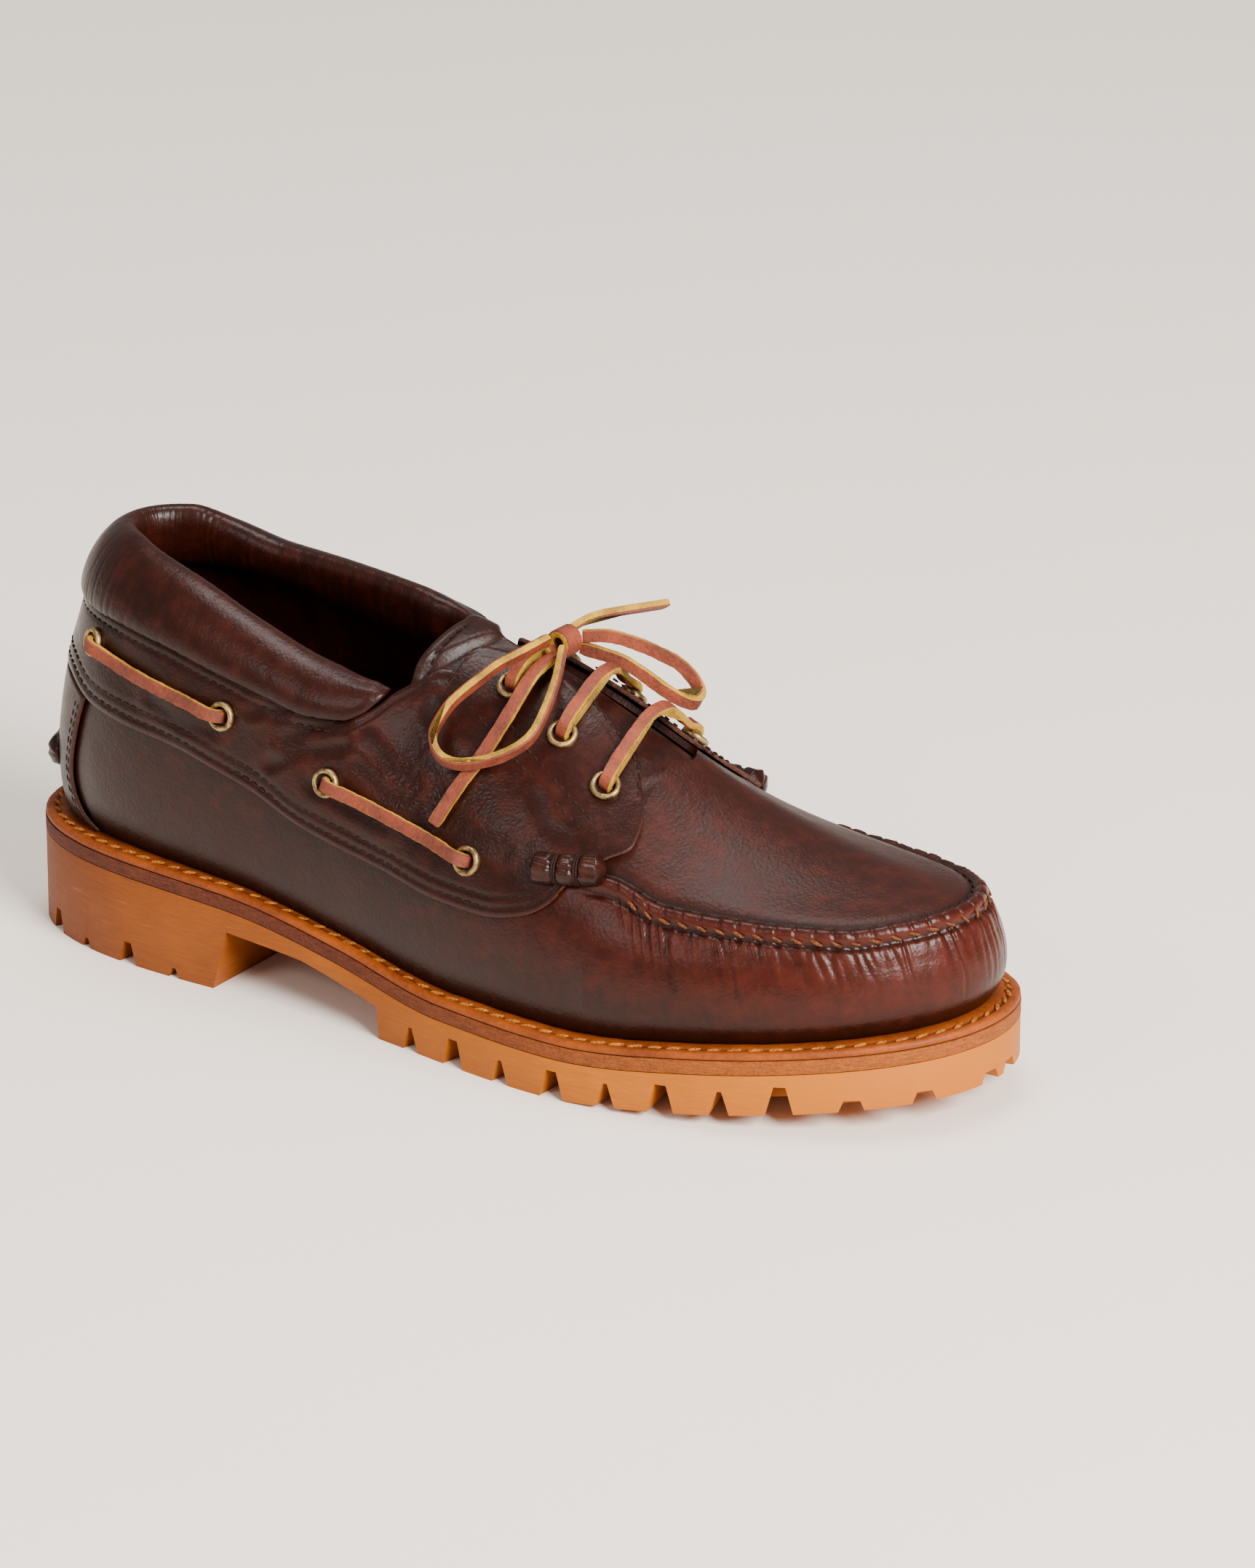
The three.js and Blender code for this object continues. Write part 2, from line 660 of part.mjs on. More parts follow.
// Padded roll round the collar: distance out from the wall and height share, from the outer foot round
const collarProfile = [
  [1.9, 0], [3.2, 0.2], [3.3, 0.5], [0.9, 0.9], [-3, 1], [-7, 0.86], [-9, 0.5], [-7.4, 0.06], [-2.3, 0],
];
const collarLean = 0.34;
const collarEnds = { lateral: 0.224, medial: 0.2285 };

function collarGeometry() {
  const steps = 19;
  const outside = spread(0, collarEnds.lateral, steps);
  const inside = spread(-collarEnds.medial, 0, steps).slice(0, -1);
  const columns = inside.concat(outside);
  return sweptBody(columns.map((column) => {
    const s = (column + 1) % 1;
    const x = shareOfLength(s);
    const foot = ease(collarFoot, x) * instepRise + collarSeat;
    const top = Math.max(ease(collarTop, x, column < 0 ? 2 : 1) * instepRise, foot + 3);
    const base = lastPoint(s, climbTo(s, foot));
    const outward = lastNormal(s, climbTo(s, foot)).setZ(0).normalize();
    const end = column < 0 ? collarEnds.medial : collarEnds.lateral;
    const taper = Math.min(1, (end - Math.abs(column)) / 0.03 + 0.25);
    return collarProfile.map(([out, up]) => {
      const rise = up * (top - foot);
      const reach = (out > 0 ? 1.9 + (out - 1.9) * taper : -2.3 + (out + 2.3) * taper) - collarLean * rise;
      return base.clone().addScaledVector(outward, reach).add(new THREE.Vector3(0, 0, rise));
    });
  }));
}

// Tongue under the throat: share along it, share round the outline, lift of its top face in the middle and inside
const tongueRows = [
  [0, 0.2315, 2.6, 10], [0.12, 0.243, 2.6, 7], [0.24, 0.255, 1.6, 3], [0.36, 0.268, 0.5, 0.5], [0.6, 0.3, 0, 0],
  [1, 0.352, 0, 0],
];
const tongueDrop = upperWall + 3 * gap;
const tongueEdgeMargin = 6;
const tongueSkew = 0.005;

function tongueGeometry() {
  const along = spread(0, 1, 12);
  const across = spread(-1, 1, 10);
  const points = [];
  const faces = [];
  const layer = (extra) => along.map((u) => across.map((w) => {
    const near = ease(tongueRows, u, 1) + tongueSkew * Math.min(w, 0.5) * (1 - u) ** 3;
    const s = w < 0 ? near : 1 - near;
    const out = Math.abs(w) * tongueHalfWidth * (1 - 0.25 * u);
    const t = downFromRidge(s, out);
    const edge = near < 0.226 ? throatRows[0][1] : ease(throatRows, near);
    const open = (edge * throatHalfGap - out - tongueEdgeMargin) / tongueEdgeMargin;
    const central = ease(tongueRows, u, 2);
    const rise = central + (ease(tongueRows, u, 3) - central) * Math.max(w, 0);
    const lift = rise * Math.min(Math.max(open, 0), 1);
    return points.push(off(s, w === 0 ? 1 : t, lift - tongueDrop - extra)) - 1;
  }));
  const top = layer(0);
  const under = layer(tongueThickness);
  const rows = along.length - 1;
  const cells = across.length - 1;
  for (let i = 0; i < rows; i += 1) {
    for (let j = 0; j < cells; j += 1) {
      faces.push([top[i][j], top[i + 1][j], top[i + 1][j + 1], top[i][j + 1]]);
      faces.push([under[i][j + 1], under[i + 1][j + 1], under[i + 1][j], under[i][j]]);
    }
    faces.push([under[i][0], under[i + 1][0], top[i + 1][0], top[i][0]]);
    faces.push([top[i][cells], top[i + 1][cells], under[i + 1][cells], under[i][cells]]);
  }
  for (let j = 0; j < cells; j += 1) {
    faces.push([under[0][j + 1], under[0][j], top[0][j], top[0][j + 1]]);
    faces.push([top[rows][j + 1], top[rows][j], under[rows][j], under[rows][j + 1]]);
  }
  return closedMesh(points, faces);
}

// Half-round gathered roll laid on a piece of leather: places of its two ends and the height of its seat
function rollGeometry(place, seat, height) {
  const profile = [[-1, 0], [-0.92, 0.5], [-0.5, 0.92], [0, 1], [0.5, 0.92], [0.92, 0.5], [1, 0]];
  const steps = 6;
  const rings = spread(0, 1, steps).map((u, i) => {
    const step = 0.02;
    const at = (share) => off(...place(share), seat);
    const run = at(Math.min(u + step, 1)).sub(at(Math.max(u - step, 0))).normalize();
    const up = lastNormal(...place(u));
    const across = up.clone().cross(run).normalize();
    const taper = i === 0 || i === steps ? 0.7 : 1;
    return profile.map(([side, rise]) => {
      const point = at(u).addScaledVector(across, side * rollHalfWidth * taper);
      return point.addScaledVector(up, rise * height * taper);
    });
  });
  return sweptBody(rings);
}

function beefRollGeometry(side) {
  const place = (u) => {
    const near = 0.3 + 0.028 * u;
    const s = side < 0 ? near : 1 - near;
    return [s, climbTo(s, (0.655 + 0.012 * u) * instepRise)];
  };
  return rollGeometry(place, overlayGap + quarterWall + gap, rollRise);
}

function heelRollGeometry() {
  const place = (u) => {
    const s = (1 + (u - 0.5) * 0.085) % 1;
    return [s, climbTo(s, heelRollHeight)];
  };
  return rollGeometry(place, overlayGap + counterWall + gap, heelRollRise);
}

// Share round the outside half of the outline where the last's face passes a place given by length and height
function shareAt(x, height) {
  let low = 0.005;
  let high = 0.45;
  for (let i = 0; i < 30; i += 1) {
    const middleShare = (low + high) / 2;
    if (lastPoint(middleShare, climbTo(middleShare, height)).x < x) low = middleShare;
    else high = middleShare;
  }
  return (low + high) / 2;
}

const eyelets = [];
for (const { name, x, up } of eyeletPlaces) {
  const near = shareAt(x * soleLength, up * instepRise);
  const t = climbTo(near, up * instepRise);
  eyelets.push({ name: 'eyelet_lateral_' + name, s: near, t });
  eyelets.push({ name: 'eyelet_medial_' + name, s: 1 - near, t });
}

// Turns a body made along +Y to stand on the last's face at an eyelet
function standAt({ s, t }, geometry) {
  const turn = new THREE.Quaternion().setFromUnitVectors(new THREE.Vector3(0, 1, 0), lastNormal(s, t));
  const place = new THREE.Matrix4().makeRotationFromQuaternion(turn).setPosition(lastPoint(s, t));
  return geometry.applyMatrix4(place);
}

function welded(geometry) {
  const position = geometry.attributes.position;
  const points = [];
  for (let i = 0; i < position.count; i += 1) points.push(new THREE.Vector3().fromBufferAttribute(position, i));
  const corners = geometry.index ? Array.from(geometry.index.array) : points.map((_, i) => i);
  const faces = [];
  for (let i = 0; i < corners.length; i += 3) faces.push(corners.slice(i, i + 3));
  return closedMesh(points, faces);
}

function withEyeletHoles(geometry) {
  const deep = 14;
  const cut = eyelets.reduce((body, eyelet) => {
    const cutter = new THREE.CylinderGeometry(eyeletBarrel + gap, eyeletBarrel + gap, deep, eyeletSides);
    return body.subtract(toManifold(welded(standAt(eyelet, cutter))));
  }, toManifold(geometry));
  return fromManifold(cut.simplify(cutTolerance));
}

function eyeletGeometry(eyelet) {
  const face = overlayGap + quarterWall + eyeletSeat;
  const rim = face + eyeletRim;
  const profile = [
    [eyeletHole, -upperWall], [eyeletBarrel, -upperWall], [eyeletBarrel, face], [eyeletFlange, face],
    [eyeletFlange - eyeletRound, rim], [eyeletHole, rim - eyeletRound / 2], [eyeletHole, -upperWall],
  ].map(([radius, height]) => new THREE.Vector2(radius, height));
  return welded(standAt(eyelet, new THREE.LatheGeometry(profile, eyeletSides)));
}

// Flat lace laid over the leather through places of share round, climb and distance, its width held level
function laceGeometry(places) {
  const centres = places.map((place) => off(...place));
  const count = centres.length;
  const span = centres[count - 1].clone().sub(centres[0]);
  return sweptBody(places.map((place, i) => {
    const before = centres[Math.max(i - 1, 0)];
    const after = centres[Math.min(i + 1, count - 1)];
    const run = after.clone().sub(before).normalize();
    const wide = span.clone().cross(lastNormal(place[0], place[1])).normalize();
    const thick = wide.clone().cross(run).normalize();
    return [[1, -1], [1, 1], [-1, 1], [-1, -1]].map(([w, h]) => centres[i].clone()
      .addScaledVector(wide, w * laceWidth / 2).addScaledVector(thick, h * laceThickness / 2));
  }));
}

// Rise of a lace's middle over the last, by the distance walked from the eyelet that it comes out of
const laceClimb = [[0, -0.6], [0, 2.4], [0.4, 3.9], [1.8, 4.95], [4.6, 5.1], [8, 4.2], [13, 3.7]];

function eyeletAt(side, name) {
  return eyelets.find((eyelet) => eyelet.name === `eyelet_${side}_${name}`);
}

// Lace on the outside of the quarter from one side eyelet to the next
function sideLace(side, from, to) {
  const first = eyeletAt(side, from);
  const second = eyeletAt(side, to);
  const start = lastPoint(first.s, first.t);
  const end = lastPoint(second.s, second.t);
  const length = start.distanceTo(end);
  const place = (share, rise) => {
    const s = first.s + (second.s - first.s) * share;
    return [s, climbTo(s, start.z + (end.z - start.z) * share), rise];
  };
  const out = laceClimb.map(([walk, rise]) => place(walk / length, rise));
  const back = laceClimb.map(([walk, rise]) => place(1 - walk / length, rise)).reverse();
  const middle = spread(0, 1, 5).slice(1, -1).map((share) => {
    const reach = laceClimb[laceClimb.length - 1][0] / length;
    return place(reach + (1 - 2 * reach) * share, laceRest);
  });
  return laceGeometry(out.concat(middle, back));
}

// Lace over the throat from the outside eyelet to the inside one
function throatLace(name, middleRise) {
  const first = eyeletAt('lateral', name);
  const second = eyeletAt('medial', name);
  const reach = [throatReach(first), throatReach(second)];
  const place = (share, rise) => {
    const across = 2 * share - 1;
    const { s } = across < 0 ? first : second;
    const walk = (across < 0 ? reach[0] : reach[1]) * Math.abs(across);
    return [s, across === 0 ? 1 : downFromRidge(s, walk), rise];
  };
  const length = reach[0] + reach[1];
  const out = laceClimb.slice(0, -1).map(([walk, rise]) => place(walk / length, rise));
  const back = laceClimb.slice(0, -1).map(([walk, rise]) => place(1 - walk / length, rise)).reverse();
  const middle = [0.38, 0.5, 0.62].map((share) => place(share, middleRise));
  return laceGeometry(out.concat(middle, back));
}

// Walk down the face from the ridge to an eyelet
function throatReach({ s, t }) {
  let low = 0;
  let high = 2 * ballHalfWidth;
  for (let i = 0; i < 24; i += 1) {
    const middleReach = (low + high) / 2;
    if (downFromRidge(s, middleReach) > t) low = middleReach;
    else high = middleReach;
  }
  return (low + high) / 2;
}

const group = new THREE.Group();
const finishes = {
  rubber: { color: 0xb96a34, roughness: 0.6 },
  fibre: { color: 0x6b3423, roughness: 0.8 },
  welt: { color: 0xb4682c, roughness: 0.55 },
  leather: { color: 0x3b1c14, roughness: 0.4 },
  plug: { color: 0x4a2218, roughness: 0.42 },
  lining: { color: 0x2e1811, roughness: 0.7 },
  brass: { color: 0x9a7c4a, roughness: 0.35, metalness: 0.9 },
  lace: { color: 0x9c4a2c, roughness: 0.8 },
};

function addPiece(name, geometry, finish) {
  const shown = geometry.toNonIndexed();
  shown.computeVertexNormals();
  const material = new THREE.MeshStandardMaterial({ metalness: 0, ...finishes[finish] });
  const mesh = new THREE.Mesh(shown, material);
  mesh.name = name;
  group.add(mesh);
}

addPiece('outsole', outsoleGeometry(), 'rubber');
addPiece('midsole', midsoleGeometry(), 'fibre');
addPiece('welt', weltGeometry(), 'welt');
addPiece('insole', insoleGeometry(), 'lining');
addPiece('upper', withEyeletHoles(upperGeometry()), 'leather');
addPiece('quarter', withEyeletHoles(quarterGeometry()), 'leather');
addPiece('heel_counter', counterGeometry(), 'leather');
addPiece('collar', collarGeometry(), 'leather');
addPiece('tongue', tongueGeometry(), 'plug');
addPiece('beef_roll_lateral', beefRollGeometry(-1), 'leather');
addPiece('beef_roll_medial', beefRollGeometry(1), 'leather');
addPiece('heel_roll', heelRollGeometry(), 'leather');
eyelets.forEach((eyelet) => addPiece(eyelet.name, eyeletGeometry(eyelet), 'brass'));
['lateral', 'medial'].forEach((side) => {
  addPiece(`lace_${side}_rear`, sideLace(side, 'side_1', 'side_2'), 'lace');
  addPiece(`lace_${side}_front`, sideLace(side, 'side_3', 'side_4'), 'lace');
});
addPiece('lace_bar_top', throatLace('throat_1', laceKnotSeat), 'lace');
addPiece('lace_bar_upper', throatLace('throat_2', laceThroatRise), 'lace');
addPiece('lace_bar_lower', throatLace('throat_3', laceThroatRise), 'lace');

// The frame stands at the middle of the shoe's box, on the ground
const reach = new THREE.Box3().setFromObject(group);
const middle = reach.getCenter(new THREE.Vector3());
group.children.forEach((mesh) => mesh.geometry.translate(-middle.x, -middle.y, 0));

// Free lace of the bow, in the frame's own places: knot, two loops and two ends
const loopLateral = [
  [16.4, -4.5, 110.6], [14.4, -12.8, 109.2], [9.8, -18.5, 106.2], [5.6, -23.9, 101.9], [1.6, -28.8, 97.2],
  [-0.3, -32.5, 92.6], [-0.6, -35, 89.4], [0.9, -36.7, 86.4], [3.9, -37.8, 84.4], [8, -37.8, 83.6],
  [12.6, -37, 84.2], [18.4, -35, 86], [23.6, -32.2, 88.8], [26.8, -28.9, 92], [27.6, -24.4, 96.4],
  [26.2, -15.6, 103.4], [21.2, -4.3, 108.7],
];
const endLateral = [
  [18.8, -4.3, 106.4], [18.3, -9.6, 105.4], [17.2, -14.6, 102.6], [16.4, -22.7, 95.8], [13.6, -30.8, 86.4],
  [9.1, -37.8, 76.9], [4.6, -42.9, 67.1],
];
const loopMedial = [
  [21.4, 5, 109.8], [28.2, 8.9, 109.8], [34.4, 14, 106.9], [38.6, 18, 103.8], [42.1, 21, 101],
  [45.3, 23, 97], [47.7, 23, 93.4], [48.2, 20.4, 91], [46.3, 17, 92.2], [41.9, 13, 96.2],
  [37, 10.4, 100.4], [31.2, 8, 103.9], [20.9, 5, 106.3],
];
const endMedial = [
  [17.6, 5.1, 111.2], [21, 10.2, 113.5], [26.2, 16, 114.5], [29.5, 23, 114.1], [32.6, 30, 113.7],
];
const knot = { x: 18.3, y: 0.4, z: 108.7, radius: 3.1, turns: 2, pitch: 2.9, start: 200 };
const knotRoute = spread(0, 1, 24).map((share) => {
  const angle = THREE.MathUtils.degToRad(knot.start) + 2 * Math.PI * knot.turns * share;
  const walk = (share - 0.5) * knot.turns * knot.pitch;
  return [knot.x + knot.radius * Math.cos(angle), knot.y + walk, knot.z + knot.radius * Math.sin(angle)];
});

function addCord(name, route, stepLength) {
  const path = new THREE.CatmullRomCurve3(route.map((point) => new THREE.Vector3(...point)));
  const sides = 8;
  const section = spread(0, 1, sides).slice(0, -1).map((turn) => {
    const angle = 2 * Math.PI * turn;
    return new THREE.Vector2(cordRadius * Math.cos(angle), cordRadius * Math.sin(angle));
  });
  const steps = Math.ceil(path.getLength() / stepLength);
  const settings = { extrudePath: path, steps, bevelEnabled: false };
  addPiece(name, welded(new THREE.ExtrudeGeometry(new THREE.Shape(section), settings)), 'lace');
}

addCord('lace_knot', knotRoute, 2.4);
addCord('lace_loop_lateral', loopLateral, 6);
addCord('lace_loop_medial', loopMedial, 6);
addCord('lace_end_lateral', endLateral, 8);
addCord('lace_end_medial', endMedial, 8);

export default group;
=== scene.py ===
# %% [markdown]
# # A hand-sewn moccasin on a lug sole
# This lesson dresses the solid model of one shoe, the right one of a pair, seen from its outer side. The
# solids are already in their places, so each piece is laid where its solid lies. Lengths in the tables
# are millimetres of the last, the wooden form that such a shoe is sewn on, and become metres only when a
# mesh is made.

# %% Load the solid model as a fixed frame
import math

import bpy
import numpy as np
from mathutils import Matrix, Vector


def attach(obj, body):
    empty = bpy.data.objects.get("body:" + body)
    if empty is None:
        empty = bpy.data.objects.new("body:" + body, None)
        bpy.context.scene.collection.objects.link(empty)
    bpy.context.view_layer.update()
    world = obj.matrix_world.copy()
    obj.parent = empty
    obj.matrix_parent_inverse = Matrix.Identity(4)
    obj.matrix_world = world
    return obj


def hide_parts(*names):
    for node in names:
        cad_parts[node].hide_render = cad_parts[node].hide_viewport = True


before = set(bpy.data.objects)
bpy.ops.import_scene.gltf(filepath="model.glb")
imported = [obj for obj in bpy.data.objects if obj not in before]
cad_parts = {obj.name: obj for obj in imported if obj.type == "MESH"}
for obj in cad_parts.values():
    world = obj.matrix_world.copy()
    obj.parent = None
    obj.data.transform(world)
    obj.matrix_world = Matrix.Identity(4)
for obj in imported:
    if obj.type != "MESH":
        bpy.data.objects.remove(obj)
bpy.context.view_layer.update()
print("solids loaded:", len(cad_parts))

# %% [markdown]
# ## The camera
# The shoe stands a little over two metres from a long lens, turned so that its outer side and toe both
# show. The camera could be placed by eye, but a direction, a distance and a target say the same in four
# numbers and are easy to correct.

# %% Camera
view_azimuth = math.radians(32.88)
view_height = math.radians(20.96)
view_distance = 2.238
view_target = Vector((0.0221, 0.0264, 0.060))
view_back = Vector((
    math.sin(view_azimuth) * math.cos(view_height),
    -math.cos(view_azimuth) * math.cos(view_height),
    math.sin(view_height),
))
camera_data = bpy.data.cameras.new("camera")
camera_data.lens = 186.6
camera_data.sensor_width = 36
camera = bpy.data.objects.new("camera", camera_data)
camera.location = view_target + view_distance * view_back
camera.rotation_euler = view_back.to_track_quat("Z", "Y").to_euler()
bpy.context.collection.objects.link(camera)
bpy.context.scene.camera = camera
print("camera at", [round(value, 3) for value in camera.location])

# %% [markdown]
# ## A small language for finishes
# Node trees are slow to wire by hand. A socket wrapped in a class can be added, taken away and multiplied
# like a number, and each such sum adds its Math node. Everything else comes from one method that takes
# the node's type, its settings and its sockets.

# %% Wrap sockets and materials
class Wire:
    """A socket of a finish that can stand in a sum."""

    def __init__(self, finish, socket):
        self.finish = finish
        self.socket = socket

    def maths(self, operation, first, second):
        return self.finish.node("ShaderNodeMath", {"operation": operation}, {0: first, 1: second})

    def __add__(self, other):
        return self.maths("ADD", self, other)

    def __radd__(self, other):
        return self.maths("ADD", other, self)

    def __sub__(self, other):
        return self.maths("SUBTRACT", self, other)

    def __rsub__(self, other):
        return self.maths("SUBTRACT", other, self)

    def __mul__(self, other):
        return self.maths("MULTIPLY", self, other)

    def __rmul__(self, other):
        return self.maths("MULTIPLY", other, self)


class Finish:
    """A material whose nodes are added from Python."""

    def __init__(self, name, roughness):
        self.material = bpy.data.materials.new(name)
        self.material.use_nodes = True
        self.tree = self.material.node_tree
        self.shader = self.tree.nodes["Principled BSDF"]
        self.shader.inputs["Roughness"].default_value = roughness

    def feed(self, socket, value):
        if isinstance(value, Wire):
            self.tree.links.new(value.socket, socket)
        else:
            socket.default_value = value

    def node(self, kind, settings=None, sockets=None, output=0):
        node = self.tree.nodes.new(kind)
        for key, value in (settings or {}).items():
            setattr(node, key, value)
        for key, value in (sockets or {}).items():
            self.feed(node.inputs[key], value)
        return Wire(self, node.outputs[output])

    def shade(self, name, value):
        self.feed(self.shader.inputs[name], value)

    def place(self):
        return self.node("ShaderNodeTexCoord", output="Object")

    def attribute(self, name):
        return self.node("ShaderNodeAttribute", {"attribute_name": name}, output="Fac")

    def noise(self, where, scale, detail=3, roughness=0.55):
        sockets = {"Vector": where, "Scale": scale, "Detail": detail, "Roughness": roughness}
        return self.node("ShaderNodeTexNoise", sockets=sockets)

    def cells(self, where, scale, feature="F1"):
        return self.node("ShaderNodeTexVoronoi", {"feature": feature}, {"Vector": where, "Scale": scale})

    def stretched(self, where, scale):
        return self.node("ShaderNodeMapping", sockets={"Vector": where, "Scale": scale})

    def length_of(self, where):
        """Place along the shoe, from heel to toe."""
        return self.node("ShaderNodeSeparateXYZ", sockets={0: where})

    def shift(self, where):
        """Small wandering offset, so that a pattern on it isn't regular."""
        cloud = self.node("ShaderNodeTexNoise", sockets={"Vector": where, "Scale": 160}, output="Color")
        small = {0: cloud, "Scale": 0.004}
        return self.node("ShaderNodeVectorMath", {"operation": "SCALE"}, small)

    def band(self, value, low, high):
        sockets = {"Value": value, "From Min": low, "From Max": high}
        return self.node("ShaderNodeMapRange", sockets=sockets)

    def blend(self, factor, first, second):
        return self.node("ShaderNodeMix", {"data_type": "RGBA"}, {0: factor, 6: first, 7: second}, 2)

    def bump(self, height, distance, strength=1.0, under=None):
        sockets = {"Height": height, "Distance": distance, "Strength": strength}
        if under is not None:
            sockets["Normal"] = under
        return self.node("ShaderNodeBump", sockets=sockets)


def paint(red, green, blue):
    """Linear colour from the 0 to 255 numbers that a picture shows."""
    shares = np.array([red, green, blue]) / 255
    linear = np.where(shares <= 0.04045, shares / 12.92, ((shares + 0.055) / 1.055) ** 2.4)
    return tuple(float(value) for value in linear) + (1.0,)


print("finish language ready")

# %% [markdown]
# ## The last's surface
# Every leather piece follows the last. Its outline is a closed spline through twenty stations, and over
# each station stands a ring of control points from the sole's edge to the ridge. The same tables made the
# solids, so a sheet laid on this surface fits them. Working with whole arrays keeps thousands of points
# quick.

# %% Tables of the last
MM = 0.001
frame_shift = np.array([151.0503, -2.4751, 0.0])
sole_length = 302
ball_half_width = 55
instep_rise = 92
heel_deck_height = 31.5
forefoot_thickness = 16.5
toe_spring = 9.8

sole_outline = [
    [-0.013, 0.02], [0.010, -0.427], [0.11, -0.70], [0.24, -0.745], [0.37, -0.738],
    [0.50, -0.880], [0.62, -1.010], [0.745, -0.996], [0.88, -0.786], [0.985, -0.382],
    [1.016, 0.127], [0.985, 0.61], [0.89, 0.865], [0.76, 0.93], [0.63, 0.86],
    [0.50, 0.66], [0.37, 0.56], [0.24, 0.63], [0.11, 0.69], [0.010, 0.46],
]
deck_rows = [
    [-0.03, 1, 0], [0.132, 0.985, 0], [0.265, 0.93, 0], [0.397, 0.52, 0.40], [0.53, 0, 1.03],
    [0.662, 0, 1], [0.795, 0, 1.19], [0.911, 0, 1.39], [1.03, 0, 1.61],
]
ground_rows = [[-0.03, 0], [0.646, 0], [0.712, 0.12], [0.811, 0.37], [0.911, 0.67], [1.03, 1]]
# Centre x and y and the inset of the feather edge, then inset and height of the low, girth, mid, high,
# shoulder and crown points, and the height of the ridge
last_rows = [
    [0.152, 0.02, 0.127, 0.065, 0.076, 0.058, 0.26, 0.118, 0.49,
     0.235, 0.674, 0.318, 0.826, 0.46, 0.935, 0.957],
    [0.152, 0.02, 0.127, 0.065, 0.076, 0.055, 0.26, 0.109, 0.49,
     0.212, 0.674, 0.295, 0.826, 0.436, 0.935, 0.957],
    [0.159, 0.02, 0.118, 0.047, 0.076, 0.029, 0.26, 0.065, 0.478,
     0.118, 0.652, 0.155, 0.804, 0.327, 0.924, 0.957],
    [0.245, 0.02, 0.118, 0.04, 0.076, 0.011, 0.24, 0.033, 0.456,
     0.073, 0.62, 0.127, 0.783, 0.327, 0.902, 0.946],
    [0.371, 0.02, 0.118, 0.04, 0.087, 0.009, 0.24, 0.027, 0.435,
     0.082, 0.609, 0.164, 0.772, 0.382, 0.902, 0.957],
    [0.497, 0.03, 0.118, 0.055, 0.087, 0.033, 0.24, 0.073, 0.435,
     0.182, 0.641, 0.364, 0.804, 0.618, 0.957, 1.011],
    [0.609, 0.045, 0.118, 0.064, 0.076, 0.055, 0.207, 0.109, 0.391,
     0.273, 0.576, 0.491, 0.717, 0.764, 0.865, 0.902],
    [0.728, 0.073, 0.118, 0.058, 0.065, 0.047, 0.174, 0.091, 0.315,
     0.236, 0.413, 0.473, 0.5, 0.727, 0.593, 0.63],
    [0.828, 0.091, 0.118, 0.055, 0.065, 0.044, 0.152, 0.073, 0.272,
     0.182, 0.359, 0.4, 0.391, 0.618, 0.44, 0.484],
    [0.868, 0.10, 0.109, 0.044, 0.065, 0.029, 0.141, 0.055, 0.25,
     0.145, 0.342, 0.327, 0.364, 0.491, 0.391, 0.43],
    [0.881, 0.109, 0.109, 0.04, 0.065, 0.025, 0.141, 0.051, 0.25,
     0.136, 0.342, 0.291, 0.359, 0.436, 0.38, 0.413],
]
print("stations of the outline:", len(sole_outline))

# %% Curves through the tables
def ease(rows, where, column=1):
    """Smooth curve without overshoot through the rows of a table."""
    table = np.array(rows, dtype=float)
    knots = table[:, 0]
    values = table[:, column]
    step = np.diff(knots)
    rise = np.diff(values) / step
    slope = np.empty(len(knots))
    slope[0] = rise[0]
    slope[-1] = rise[-1]
    for i in range(1, len(knots) - 1):
        before, after = rise[i - 1], rise[i]
        heavy = 2 * step[i] + step[i - 1]
        light = step[i] + 2 * step[i - 1]
        slope[i] = (heavy + light) / (heavy / before + light / after) if before * after > 0 else 0
    at = np.clip(where, knots[0], knots[-1])
    k = np.clip(np.searchsorted(knots, at, side="right") - 1, 0, len(knots) - 2)
    u = (at - knots[k]) / step[k]
    start = (2 * u ** 3 - 3 * u ** 2 + 1) * values[k] + (u ** 3 - 2 * u ** 2 + u) * step[k] * slope[k]
    end = (3 * u ** 2 - 2 * u ** 3) * values[k + 1] + (u ** 3 - u ** 2) * step[k] * slope[k + 1]
    return start + end


def spline_weights(u):
    corners = [(1 - u) ** 3, 3 * u ** 3 - 6 * u ** 2 + 4, -3 * u ** 3 + 3 * u ** 2 + 3 * u + 1, u ** 3]
    return np.stack(corners, -1) / 6


stations = len(sole_outline)
outline_net = np.array(sole_outline) * [sole_length, ball_half_width]


def outline(s):
    """Plan of the sole's edge at shares s of the way round, from the heel back by the outside."""
    place = np.mod(np.atleast_1d(s), 1) * stations
    k = np.floor(place).astype(int)
    rows = (k[:, None] + np.arange(-1, 3)) % stations
    return np.einsum("na,nac->nc", spline_weights(place - k), outline_net[rows])


def inset_outline(s, inset):
    ahead = outline(np.asarray(s) + 1e-4) - outline(np.asarray(s) - 1e-4)
    ahead /= np.linalg.norm(ahead, axis=1, keepdims=True)
    inward = np.stack([-ahead[:, 1], ahead[:, 0]], -1)
    return outline(s) + inward * np.reshape(inset, (-1, 1))


def deck(x):
    share = x / sole_length
    return ease(deck_rows, share, 1) * heel_deck_height + ease(deck_rows, share, 2) * forefoot_thickness


def ground(x):
    return ease(ground_rows, x / sole_length) * toe_spring


print("edge of the sole at the toe:", outline(0.5).round(1).tolist())

